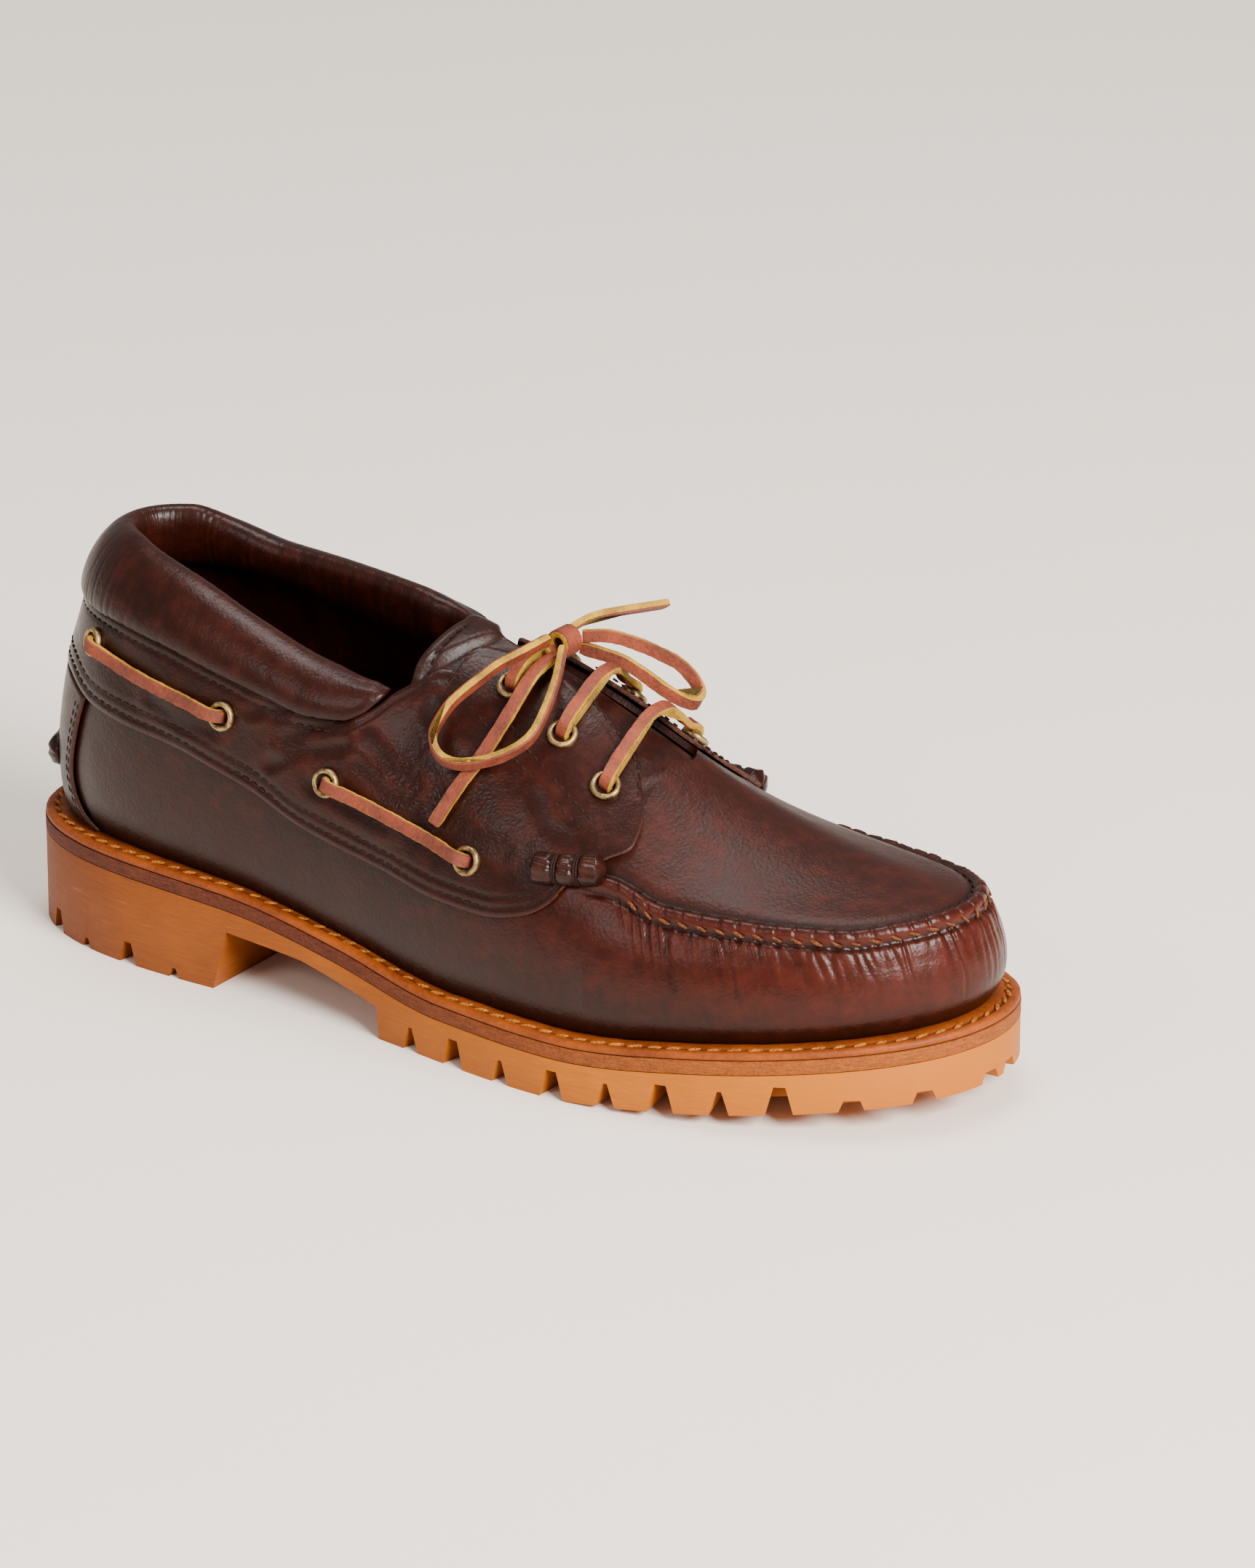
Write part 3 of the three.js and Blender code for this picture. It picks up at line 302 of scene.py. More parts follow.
# %% Surface of the last
def net_of_last():
    rings = []
    for i in range(stations):
        row = last_rows[min(i, stations - i)]
        edge = outline(i / stations)[0]
        centre = np.array([row[0] * sole_length, row[1] * ball_half_width])
        inward = centre - edge
        reach = np.linalg.norm(inward)
        inward /= reach
        pairs = [(row[2] * ball_half_width, 0)]
        pairs += [(row[c] * ball_half_width, row[c + 1]) for c in range(3, 15, 2)]
        pairs += [(reach, row[15])]
        rings.append([np.append(edge + inward * inset, up * instep_rise) for inset, up in pairs])
    closed = []
    for i in range(stations):
        ring = rings[i]
        closed.append([2 * ring[0] - ring[1]] + ring + [rings[(stations - i) % stations][-2]])
    return np.array(closed)


last_net = net_of_last()
spans = last_net.shape[1] - 3


def last_point(s, t):
    """Points of the last at shares s round the outline and t from the feather edge to the ridge."""
    s, t = np.broadcast_arrays(np.atleast_1d(s), np.atleast_1d(t))
    place = np.mod(s, 1) * stations
    k = np.floor(place).astype(int)
    climb = np.clip(t, 0, 1) * spans
    j = np.minimum(np.floor(climb).astype(int), spans - 1)
    rows = (k[:, None] + np.arange(-1, 3)) % stations
    columns = j[:, None] + np.arange(4)
    net = last_net[rows[:, :, None], columns[:, None, :]]
    point = np.einsum("na,nb,nabc->nc", spline_weights(place - k), spline_weights(climb - j), net)
    point[:, 2] += deck(point[:, 0])
    return point


def unit(vectors):
    return vectors / np.maximum(np.linalg.norm(vectors, axis=-1, keepdims=True), 1e-12)


def face_normal(s, t):
    high = np.minimum(t, 0.995)
    low = np.maximum(high - 0.01, 0)
    along = last_point(s + 0.003, high) - last_point(s - 0.003, high)
    up = last_point(s, np.maximum(high, low + 0.01)) - last_point(s, low)
    return unit(np.cross(along, up))


def last_normal(s, t):
    s, t = np.broadcast_arrays(np.atleast_1d(s).astype(float), np.atleast_1d(t).astype(float))
    normal = face_normal(s, t)
    ridge = t >= 0.999
    normal[ridge] = unit(normal[ridge] + face_normal(1 - s[ridge], t[ridge]))
    return normal


def off(s, t, distance):
    """Points at distances outside the last's surface."""
    return last_point(s, t) + last_normal(s, t) * np.reshape(distance, (-1, 1))


def climb_to(s, height):
    """Share t where the surface reaches a height, worked out once for each column."""
    s, height = np.broadcast_arrays(np.atleast_1d(s), np.atleast_1d(height))
    pairs, back = np.unique(np.stack([s, height], -1), axis=0, return_inverse=True)
    low = np.zeros(len(pairs))
    high = np.ones(len(pairs))
    for _ in range(30):
        middle = (low + high) / 2
        under = last_point(pairs[:, 0], middle)[:, 2] < pairs[:, 1]
        low = np.where(under, middle, low)
        high = np.where(under, high, middle)
    return ((low + high) / 2)[back.reshape(-1)]


def down_from_ridge(s, distance):
    """Share t that lies a distance down the surface from the ridge."""
    s, distance = np.broadcast_arrays(np.atleast_1d(s), np.atleast_1d(distance))
    pairs, back = np.unique(np.stack([s, distance], -1), axis=0, return_inverse=True)
    steps = 80
    shares = 1 - np.arange(steps + 1) / steps
    walk = last_point(np.repeat(pairs[:, 0], steps + 1), np.tile(shares, len(pairs)))
    walk = walk.reshape(len(pairs), -1, 3)
    pieces = np.linalg.norm(np.diff(walk, axis=1), axis=2)
    walked = np.concatenate([np.zeros((len(pairs), 1)), np.cumsum(pieces, axis=1)], axis=1)
    found = [np.interp(pairs[i, 1], walked[i], shares) for i in range(len(pairs))]
    return np.array(found)[back.reshape(-1)]


def share_of_length(s):
    return outline(s)[:, 0] / sole_length


def in_frame(points):
    """Metres in the shared frame from millimetres of the last."""
    return (points - frame_shift) * MM


print("highest point of the last:", last_point(np.linspace(0, 1, 200), 1)[:, 2].max().round(1), "mm")

# %% [markdown]
# ## Laying sheets
# A sheet starts as a grid primitive. Its corners are then laid where a rule says, as leather is laid on a
# last, and modifiers give it thickness and a soft edge. A `wear_and_shade` value is kept at each corner, so
# that the finish can be paler where the leather is rubbed, and darker with painted shade in its folds and
# grooves.

# %% Tools for sheets
def corner_places(mesh):
    """Places of a mesh's corners in metres, one row each."""
    flat = np.empty(len(mesh.vertices) * 3)
    mesh.vertices.foreach_get("co", flat)
    return flat.reshape(-1, 3)


def face_outwards():
    """Turn the faces of the active piece outwards."""
    bpy.ops.object.mode_set(mode="EDIT")
    bpy.ops.mesh.select_all(action="SELECT")
    bpy.ops.mesh.normals_make_consistent(inside=False)
    bpy.ops.object.mode_set(mode="OBJECT")


def sheet(name, columns, rows, place, finishes, weld=0.0):
    """Grid whose corners are laid at place(u, v), which gives points in mm and the wear and painted shade at
    each.
    """
    bpy.ops.object.select_all(action="DESELECT")
    bpy.ops.mesh.primitive_grid_add(x_subdivisions=columns, y_subdivisions=rows, size=1)
    piece = bpy.context.object
    piece.name = name
    mesh = piece.data
    mesh.name = name
    u, v = np.round(corner_places(mesh)[:, :2].T + 0.5, 7)
    points, wear_and_shade = place(u, v)
    mesh.vertices.foreach_set("co", in_frame(points).ravel())
    kept_wear_and_shade = mesh.attributes.new("wear_and_shade", "FLOAT", "POINT")
    kept_wear_and_shade.data.foreach_set("value", np.broadcast_to(wear_and_shade, u.shape).copy())
    for finish in finishes:
        mesh.materials.append(finish.material)
    if weld:
        bpy.ops.object.mode_set(mode="EDIT")
        bpy.ops.mesh.select_all(action="SELECT")
        bpy.ops.mesh.remove_doubles(threshold=weld * MM)
        bpy.ops.object.mode_set(mode="OBJECT")
    mesh.update()
    return piece


def modify(piece, kind, **settings):
    bpy.ops.object.select_all(action="DESELECT")
    bpy.context.view_layer.objects.active = piece
    modifier = piece.modifiers.new(kind.title(), kind)
    for key, value in settings.items():
        setattr(modifier, key, value)
    bpy.ops.object.modifier_apply(modifier=modifier.name)


cut_edge = 2


def round_rim(piece, width):
    """Round the edges between a leather piece's cut edge and its two faces."""
    mesh = piece.data
    on_rim = np.zeros(len(mesh.edges))
    off_rim = np.zeros(len(mesh.edges))
    for polygon in mesh.polygons:
        count = on_rim if polygon.material_index == cut_edge else off_rim
        for loop in polygon.loop_indices:
            count[mesh.loops[loop].edge_index] = 1
    weights = mesh.attributes.new("bevel_weight_edge", "FLOAT", "EDGE")
    weights.data.foreach_set("value", on_rim * off_rim)
    modify(piece, "BEVEL", width=width, segments=2, limit_method="WEIGHT", use_clamp_overlap=False)


def smooth(piece, angle):
    bpy.ops.object.select_all(action="DESELECT")
    piece.select_set(True)
    bpy.context.view_layer.objects.active = piece
    bpy.ops.object.shade_smooth_by_angle(angle=math.radians(angle))


def dress(piece, slot, *nodes):
    """The piece rides on the shoe and stands for its solids."""
    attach(piece, "root")
    if nodes:
        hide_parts(*nodes)
    print(piece.name, "faces", len(piece.data.polygons))


# %% [markdown]
# ## The lace's two finishes
# Rawhide lace shows two surfaces: oiled rust faces, and the yellow core where the knife cut it. A coarse
# noise gives patches of colour and a finer one the fibres, so one function makes both finishes from other
# colours.

# %% Lace finishes
def lace_finish(name, deep, pale, edge_noise):
    finish = Finish(name, 0.62)
    place = finish.place()
    cloud = finish.noise(place, 140, 3)
    fibre = finish.noise(place, edge_noise, 4, 0.7)
    tone = finish.band(cloud * 0.6 + fibre * 0.4, 0.38, 0.62)
    finish.shade("Base Color", finish.blend(tone, deep, pale))
    finish.shade("Normal", finish.bump(fibre, 0.0004, 0.8))
    finish.shade("Roughness", 0.5 + fibre * 0.3)
    return finish


lace_face = lace_finish("lace_face", paint(86, 31, 11), paint(132, 54, 23), 900)
lace_edge = lace_finish("lace_cut_edge", paint(126, 86, 3), paint(190, 144, 12), 1600)
print("lace finishes ready")

# %% [markdown]
# ## The bow, free lace tied at the throat
# The lace is rawhide, 3.6 mm wide and 2.2 mm thick, with a rust face and pale cut edges. Its bow has two
# loops and two short ends, and the loops stand on edge. A curve with a bevel would make it round, so a
# rounded strip is swept along each route instead, with its width turned to a stated direction.

# %% Strip swept along a route
lace_width = 3.6
lace_thickness = 2.2
route_step = 1.2


def walked_along(points):
    """Distance walked at each point of a line."""
    return np.append(0, np.cumsum(np.linalg.norm(np.diff(points, axis=0), axis=1)))


def between(a, b, c, d, u):
    """Smooth curve from b to c, with a before them and d after."""
    bend = 2 * a - 5 * b + 4 * c - d
    return 0.5 * (2 * b + (c - a) * u + bend * u ** 2 + (3 * b - a - 3 * c + d) * u ** 3)


def smooth_route(route):
    """Even points on a smooth curve through the route's points."""
    route = np.array(route, dtype=float)
    ends = np.vstack([2 * route[0] - route[1], route, 2 * route[-1] - route[-2]])
    fine = []
    for i in range(len(route) - 1):
        a, b, c, d = ends[i:i + 4]
        for u in np.linspace(0, 1, 24, endpoint=False):
            fine.append(between(a, b, c, d, u))
    fine = np.vstack([fine, route[-1]])
    walked = walked_along(fine)
    count = max(int(round(walked[-1] / route_step)), 6)
    even = np.linspace(0, walked[-1], count + 1)
    return np.stack([np.interp(even, walked, fine[:, axis]) for axis in range(3)], -1)


strip_section = np.array([
    [1, -0.55], [1, 0], [1, 0.55], [0.86, 1], [0.3, 1], [-0.3, 1], [-0.86, 1],
    [-1, 0.55], [-1, 0], [-1, -0.55], [-0.86, -1], [-0.3, -1], [0.3, -1], [0.86, -1],
])


def strip(name, centres, wide_hint, curl=0.0):
    """Flat lace through the centres in mm of the frame, its width turned towards the hint."""
    run = unit(np.gradient(centres, axis=0))
    hint = np.broadcast_to(np.array(wide_hint, dtype=float), centres.shape)
    wide = unit(hint - run * np.sum(hint * run, axis=1, keepdims=True))
    thick = np.cross(wide, run)
    count = len(centres) - 1
    around = len(strip_section)

    def place(u, v):
        i = np.round(u * count).astype(int)
        corner = strip_section[np.round(v * around).astype(int) % around]
        ends = np.where((i == 0) | (i == count), 0.86, 1.0)[:, None]
        wave = 1 + 0.03 * np.sin(i * 0.9 + curl)[:, None] + 0.03 * np.sin(i * 2.3 + 3 * v)[:, None]
        side = wide[i] * corner[:, :1] * lace_width / 2 * ends * wave
        rise = thick[i] * corner[:, 1:] * lace_thickness / 2 * ends
        return centres[i] + side + rise + frame_shift, 0.5

    piece = sheet(name, count, around, place, [lace_face, lace_edge], weld=0.01)
    bpy.ops.object.mode_set(mode="EDIT")
    bpy.ops.mesh.select_all(action="DESELECT")
    bpy.ops.mesh.select_non_manifold()
    bpy.ops.mesh.edge_face_add()
    bpy.ops.object.mode_set(mode="OBJECT")
    face_outwards()
    uv = piece.data.uv_layers[0].data
    for polygon in piece.data.polygons:
        if len(polygon.vertices) > 4:
            polygon.material_index = 1
            continue
        v = sum(uv[loop].uv[1] for loop in polygon.loop_indices) / len(polygon.loop_indices)
        polygon.material_index = 0 if 3 / around < v < 7 / around - 0.01 or 10 / around < v < 1 - 0.01 else 1
    smooth(piece, 50)
    return piece


# %% [markdown]
# ## Where the bow's laces run
# No formula gives a tied bow. The loops and ends follow points chosen from the photograph, in
# millimetres of the frame, and only the knot's turns come from angles.

# %% Routes of the bow
loop_lateral = [
    [16.4, -4.5, 110.6], [14.4, -12.8, 109.2], [9.8, -18.5, 106.2], [5.6, -23.9, 101.9], [1.6, -28.8, 97.2],
    [-0.3, -32.5, 92.6], [-0.6, -35, 89.4], [0.9, -36.7, 86.4], [3.9, -37.8, 84.4], [8, -37.8, 83.6],
    [12.6, -37, 84.2], [18.4, -35, 86], [23.6, -32.2, 88.8], [26.8, -28.9, 92], [27.6, -24.4, 96.4],
    [26.2, -15.6, 103.4], [21.2, -4.3, 108.7],
]
end_lateral = [
    [18.8, -4.3, 106.4], [18.3, -9.6, 105.4], [17.2, -14.6, 102.6], [16.4, -22.7, 95.8], [13.6, -30.8, 86.4],
    [9.1, -37.8, 76.9], [4.6, -42.9, 67.1],
]
loop_medial = [
    [21.4, 5, 109.8], [28.2, 8.9, 109.8], [34.4, 14, 106.9], [38.6, 18, 103.8], [42.1, 21, 101],
    [45.3, 23, 97], [47.7, 23, 93.4], [48.2, 20.4, 91], [46.3, 17, 92.2], [41.9, 13, 96.2],
    [37, 10.4, 100.4], [31.2, 8, 103.9], [20.9, 5, 106.3],
]
end_medial = [
    [16.4, 3.4, 110.4], [17.6, 5.1, 111.2], [21, 10.2, 113.5], [26.2, 16, 114.5], [29.5, 23, 114.1],
    [32.6, 30, 113.7],
]
knot_centre = np.array([18.3, 0.4, 108.7])
knot_radius = 3.1
knot_turns = 2
knot_pitch = 2.9
knot_start = math.radians(200)
knot_shares = np.linspace(0, 1, 25)
knot_angles = knot_start + 2 * math.pi * knot_turns * knot_shares
knot_route = knot_centre + np.stack([
    knot_radius * np.cos(knot_angles),
    (knot_shares - 0.5) * knot_turns * knot_pitch,
    knot_radius * np.sin(knot_angles),
], -1)


def free_lace(name, node, route, hint, curl):
    centres = smooth_route(route)
    piece = strip(name, centres, hint, curl)
    dress(piece, "lace_leather", node)


free_lace("bow_knot", "lace_knot", knot_route, (0, 1, 0), 0)
free_lace("bow_loop_outer", "lace_loop_lateral", loop_lateral, (0.3, -0.55, 0.78), 1)
free_lace("bow_loop_inner", "lace_loop_medial", loop_medial, (0.4, 0.2, 0.9), 2)
free_lace("bow_end_outer", "lace_end_lateral", end_lateral, (1, 0.25, 0.1), 3)
free_lace("bow_end_inner", "lace_end_medial", end_medial, (0.6, -0.5, 0.5), 4)

# %% [markdown]
# ## The leathers
# The upper is a waxy brown leather that goes paler where it is pulled, with painted shade darkening its
# folds. Its finish mixes three browns by broad and fine clouds and by the `wear_and_shade` kept on the sheet,
# and only the bump carries the pores and the wrinkles. The sole's finishes are built in the same way from
# fewer parts.

# %% Leather finishes
def leather(name, dark, body, worn, roughness, grain=0.00009):
    finish = Finish(name, roughness)
    place = finish.place()
    cloud = finish.noise(place, 26, 4, 0.6)
    mottle = finish.noise(place, 190, 3, 0.6)
    wear_and_shade = finish.attribute("wear_and_shade")
    tone = finish.band(cloud * 0.5 + mottle * 0.5, 0.3, 0.7)
    colour = finish.blend(tone, dark, body)
    rubbed = finish.band(wear_and_shade + (mottle - 0.5) * 0.2, 0.5, 1.05)
    colour = finish.blend(rubbed, colour, worn)
    # Values under a half darken the colour towards a deep brown: painted shade in folds, grooves and joins.
    fold_shade = finish.band(0.5 - wear_and_shade, 0.02, 0.42)
    deep = tuple(channel * 0.28 for channel in dark[:3]) + (1.0,)
    colour = finish.blend(fold_shade, colour, deep)
    pores = finish.cells(place, 1000)
    wrinkle = finish.noise(place, 560, 5, 0.7)
    broad = finish.noise(place, 60, 3, 0.5)
    bent = finish.node("ShaderNodeVectorMath", {"operation": "ADD"}, {0: place, 1: finish.shift(place)})
    cracks = finish.cells(finish.stretched(bent, (1, 1, 1.7)), 520, "DISTANCE_TO_EDGE")
    crackle = finish.attribute("crackle") * (1 - finish.band(cracks, 0.0, 0.3))
    skin = finish.bump(crackle, -0.00009, 1.0, finish.bump(broad, 0.0012, 0.35))
    finish.shade("Base Color", colour)
    finish.shade("Roughness", roughness + (mottle - 0.5) * 0.22 + fold_shade * 0.2 - rubbed * 0.06)
    finish.shade("Normal", finish.bump(pores * 0.5 + wrinkle, grain, 1.0, skin))
    finish.shade("Specular IOR Level", 0.21)
    return finish


upper_leather = leather("upper_leather", paint(26, 7, 3), paint(43, 12, 5), paint(98, 32, 17), 0.32)
plug_leather = leather("plug_leather", paint(30, 8, 3), paint(52, 15, 6), paint(104, 36, 18), 0.4, 0.00015)
counter_leather = leather("counter_leather", paint(24, 6, 3), paint(40, 11, 5), paint(90, 32, 17), 0.33)
collar_leather = leather("collar_leather", paint(26, 7, 3), paint(44, 12, 5), paint(92, 32, 18), 0.33)
tongue_leather = leather("tongue_leather", paint(24, 6, 3), paint(42, 12, 5), paint(92, 34, 18), 0.38)
roll_leather = leather("roll_leather", paint(22, 6, 3), paint(44, 14, 7), paint(96, 44, 24), 0.28)
lining_leather = leather("lining_leather", paint(20, 7, 3), paint(40, 15, 7), paint(58, 28, 16), 0.6)
print("leathers ready")

# %% [markdown]
# ## Edges, welt, midsole and rubber
# Cut leather is fuzzy at its edge, the waxed welt is painted darker as shade in its groove and next to the
# upper, the midsole board is streaked along its layers, and the rubber is scratched. Pictures could be
# wrapped round them, but noise in the piece's own space has no seams, and stretching it gives the streaks a
# direction.

# %% Finishes of the raw edge, welt, midsole and rubber
raw_edge = Finish("raw_leather_edge", 0.85)
raw_place = raw_edge.place()
raw_fuzz = raw_edge.noise(raw_place, 1500, 4, 0.7)
raw_tone = raw_edge.band(raw_fuzz, 0.35, 0.65)
raw_edge.shade("Base Color", raw_edge.blend(raw_tone, paint(42, 17, 9), paint(92, 46, 26)))
raw_edge.shade("Normal", raw_edge.bump(raw_fuzz, 0.0005, 0.9))

welt_leather = Finish("welt_leather", 0.5)
welt_place = welt_leather.place()
welt_cloud = welt_leather.noise(welt_place, 45, 4, 0.6)
welt_fibre = welt_leather.noise(welt_place, 700, 4, 0.7)
welt_shade_level = welt_leather.attribute("wear_and_shade")
welt_tone = welt_leather.band(welt_cloud * 0.6 + welt_fibre * 0.4, 0.36, 0.64)
welt_colour = welt_leather.blend(welt_tone, paint(102, 42, 4), paint(150, 70, 9))
# Painted shade: darker in the groove and where the welt meets the upper.
welt_recess_shade = welt_leather.band(0.5 - welt_shade_level, 0.0, 0.45)
welt_leather.shade("Base Color", welt_leather.blend(welt_recess_shade, welt_colour, paint(62, 24, 10)))
welt_leather.shade("Specular IOR Level", 0.25)
welt_leather.shade("Roughness", 0.42 + welt_fibre * 0.25)
welt_leather.shade("Normal", welt_leather.bump(welt_fibre, 0.00018, 0.9))

midsole_fibre = Finish("midsole_fibre", 0.7)
fibre_place = midsole_fibre.place()
fibre_streak = midsole_fibre.noise(midsole_fibre.stretched(fibre_place, (1, 1, 9)), 260, 5, 0.75)
fibre_grit = midsole_fibre.noise(fibre_place, 1300, 3, 0.7)
fibre_tone = midsole_fibre.band(fibre_streak * 0.6 + fibre_grit * 0.4, 0.36, 0.62)
fibre_dark = midsole_fibre.blend(fibre_tone, paint(44, 16, 8), paint(104, 46, 20))
fibre_pale = midsole_fibre.blend(fibre_tone, paint(102, 46, 9), paint(156, 82, 22))
toward_toe_end = midsole_fibre.band(midsole_fibre.length_of(fibre_place), -0.03, 0.1)
midsole_fibre.shade("Base Color", midsole_fibre.blend(toward_toe_end, fibre_dark, fibre_pale))
midsole_fibre.shade("Specular IOR Level", 0.25)
midsole_fibre.shade("Roughness", 0.6 + fibre_grit * 0.25)
midsole_fibre.shade("Normal", midsole_fibre.bump(fibre_streak * 0.5 + fibre_grit * 0.5, 0.0004, 0.9))

sole_rubber = Finish("sole_rubber", 0.5)
rubber_place = sole_rubber.place()
rubber_cloud = sole_rubber.noise(rubber_place, 22, 4, 0.6)
rubber_scratch = sole_rubber.noise(sole_rubber.stretched(rubber_place, (0.12, 0.12, 1.6)), 900, 4, 0.7)
rubber_grit = sole_rubber.noise(rubber_place, 1500, 3, 0.6)
# Painted light: the rubber goes paler towards the lit toe and darker towards the heel.
rubber_toe_light = sole_rubber.band(sole_rubber.length_of(rubber_place), -0.13, 0.12)
rubber_tone = sole_rubber.band(rubber_cloud * 0.4 + rubber_scratch * 0.3 + rubber_toe_light * 0.45, 0.34, 0.82)
rubber_colour = sole_rubber.blend(rubber_tone, paint(116, 54, 3), paint(174, 96, 6))
rubber_rub = sole_rubber.band(rubber_scratch, 0.64, 0.74) * 0.3
sole_rubber.shade("Base Color", sole_rubber.blend(rubber_rub, rubber_colour, paint(210, 134, 44)))
sole_rubber.shade("Specular IOR Level", 0.25)
sole_rubber.shade("Roughness", 0.46 + rubber_grit * 0.2)
sole_rubber.shade("Normal", sole_rubber.bump(rubber_scratch * 0.6 + rubber_grit * 0.4, 0.00022, 0.8))
print("edge, welt, midsole and rubber ready")

# %% [markdown]
# ## Brass, the painted shade of the holes, and thread
# Old brass is bright in one patch and dull in the next, so one cloud drives its colour and its roughness.
# A hole shows little but shade, so its colour is painted near black. The twist of a thread is too fine to
# model, so a fine noise stands for it.

# %% Finishes of brass and thread
old_brass = Finish("old_brass", 0.38)
brass_place = old_brass.place()
brass_cloud = old_brass.noise(brass_place, 420, 4, 0.65)
brass_tone = old_brass.band(brass_cloud, 0.36, 0.62)
old_brass.shade("Base Color", old_brass.blend(brass_tone, paint(96, 78, 50), paint(186, 156, 104)))
old_brass.shade("Roughness", 0.26 + brass_cloud * 0.3)
old_brass.shader.inputs["Metallic"].default_value = 0.9
old_brass.shade("Normal", old_brass.bump(brass_cloud, 0.00012, 0.6))

# Painted shade: the inside of a hole is given a near-black colour.
hole_shade = Finish("eyelet_hole_shade", 0.9)
hole_place = hole_shade.place()
hole_shade_mottle = hole_shade.noise(hole_place, 600, 2)
hole_shade.shade("Base Color", hole_shade.blend(hole_shade_mottle, paint(14, 9, 7), paint(30, 20, 15)))


def thread(name, dark, pale):
    finish = Finish(name, 0.75)
    finish.shade("Specular IOR Level", 0.2)
    place = finish.place()
    ply = finish.noise(place, 1700, 3, 0.6)
    finish.shade("Base Color", finish.blend(finish.band(ply, 0.35, 0.65), dark, pale))
    finish.shade("Normal", finish.bump(ply, 0.0003, 0.8))
    return finish


gold_thread = thread("gold_thread", paint(50, 23, 8), paint(120, 68, 32))
brown_thread = thread("brown_thread", paint(16, 6, 3), paint(44, 17, 9))
welt_thread = thread("welt_thread", paint(96, 44, 8), paint(186, 112, 36))
orange_thread = thread("orange_thread", paint(150, 70, 22), paint(214, 118, 48))
print("brass and threads ready")

# %% [markdown]
# ## The lug sole
# The rubber sole is a slab cut to the outline, hollow-backed at the waist, with deep notches round its
# edge. A grid in plan is extruded upwards, which gives clean sides, and the notches are cut by one joined
# cutter, as a mould's inserts would make them.

# %% Slab of the sole
breast_slant = 6.5
heel_block_length = 76
breast_height = 17.8
midsole_drop = 0.9
midsole_thickness = 3.8
gap = 0.3
slab_cells = (150, 20)


def slab(name, inset, low, high, finishes):
    """Body between two heights, from a plan grid that is extruded."""
    def place(u, v):
        s = u / 2
        near = inset_outline(s, inset)
        far = inset_outline(1 - s, inset)
        plan = near + (far - near) * v[:, None]
        return np.column_stack([plan, low(plan[:, 0])]), 0.5

    piece = sheet(name, *slab_cells, place, finishes, weld=0.02)
    bpy.ops.object.mode_set(mode="EDIT")
    bpy.ops.mesh.select_all(action="SELECT")
    bpy.ops.mesh.extrude_region_move(TRANSFORM_OT_translate={"value": (0, 0, 1)})
    bpy.ops.object.mode_set(mode="OBJECT")
    mesh = piece.data
    points = corner_places(mesh)
    upper = points[:, 2] > 0.5
    points[upper, 2] = high(points[upper, 0] / MM + frame_shift[0]) * MM
    mesh.vertices.foreach_set("co", points.ravel())
    face_outwards()
    return piece


def round_edges(piece, width):
    """Bevel the sharp edges of a board by a width in metres."""
    modify(piece, "BEVEL", width=width, segments=2, limit_method="ANGLE", angle_limit=math.radians(50))


def rubber_top(x):
    return deck(x) - midsole_drop - midsole_thickness - gap


rubber_sole = slab("rubber_sole", 0.4, ground, rubber_top, [sole_rubber])
round_edges(rubber_sole, 0.0006)
print("slab faces", len(rubber_sole.data.polygons))

# %% [markdown]
# ## Notches and the open waist
# Notches run round the lugs, and between heel and forefoot the rubber is cut away. Each could be modelled
# face by face, but straight prisms that are joined and subtracted keep the sole one clean solid, and
# their table reads like a drawing.

# %% Cutters of the waist and the notches
def prism(name, corners, start, along, up, depth):
    """Straight cutter: a polygon of (along, up) corners pushed to a depth."""
    bpy.ops.object.select_all(action="DESELECT")
    bpy.ops.mesh.primitive_circle_add(vertices=len(corners), radius=1, fill_type="NGON")
    cutter = bpy.context.object
    cutter.name = name
    inward = np.cross(along, up)
    base = start + np.array(corners)[:, :1] * along + np.array(corners)[:, 1:] * up
    cutter.data.vertices.foreach_set("co", in_frame(base).ravel())
    bpy.ops.object.mode_set(mode="EDIT")
    bpy.ops.mesh.select_all(action="SELECT")
    step = inward * depth * MM
    bpy.ops.mesh.extrude_region_move(TRANSFORM_OT_translate={"value": tuple(step.tolist())})
    bpy.ops.object.mode_set(mode="OBJECT")
    face_outwards()
    return cutter


def subtract(piece, cutters):
    bpy.ops.object.select_all(action="DESELECT")
    for cutter in cutters:
        cutter.select_set(True)
    bpy.context.view_layer.objects.active = cutters[0]
    if len(cutters) > 1:
        bpy.ops.object.join()
    joined = cutters[0]
    modify(piece, "BOOLEAN", object=joined, operation="DIFFERENCE", solver="EXACT", use_self=True)
    bpy.data.objects.remove(joined)


def notch_corners(mouth, roof, height):
    below = 3
    wide = mouth / 2 + (mouth - roof) / height * below / 2
    return [[-wide, -below], [wide, -below], [roof / 2, height], [-roof / 2, height]]


wide_notch = (notch_corners(7.6, 3.2, 8), 15)
narrow_notch = (notch_corners(5.6, 1.2, 6.8), 15)
toe_notch = (notch_corners(7, 4.4, 3), 7.5)
heel_wide_notch = (notch_corners(6.2, 2.6, 6.4), 7.5)
heel_narrow_notch = (notch_corners(3.6, 1.2, 2.8), 7.5)
notches = [
    [0.2477, narrow_notch], [0.2692, wide_notch], [0.2923, narrow_notch], [0.3158, wide_notch],
    [0.338, narrow_notch], [0.3585, wide_notch], [0.3788, narrow_notch], [0.399, wide_notch],
    [0.424, toe_notch], [0.453, toe_notch], [0.491, toe_notch], [0.069, heel_wide_notch],
    [0.093, heel_narrow_notch], [0.1168, heel_wide_notch], [0.139, heel_narrow_notch],
]
upright = np.array([0.0, 0.0, 1.0])
overrun = 6


def notch_cutter(s, corners, depth):
    spot = outline(s)[0]
    inner = inset_outline(np.array([s]), 1.0)[0]
    inward = np.append(inner - spot, 0)
    along = np.cross(upright, inward)
    start = np.array([spot[0], spot[1], ground(spot[0])]) - inward * overrun
    return prism("notch", corners, start, along, upright, depth + overrun)


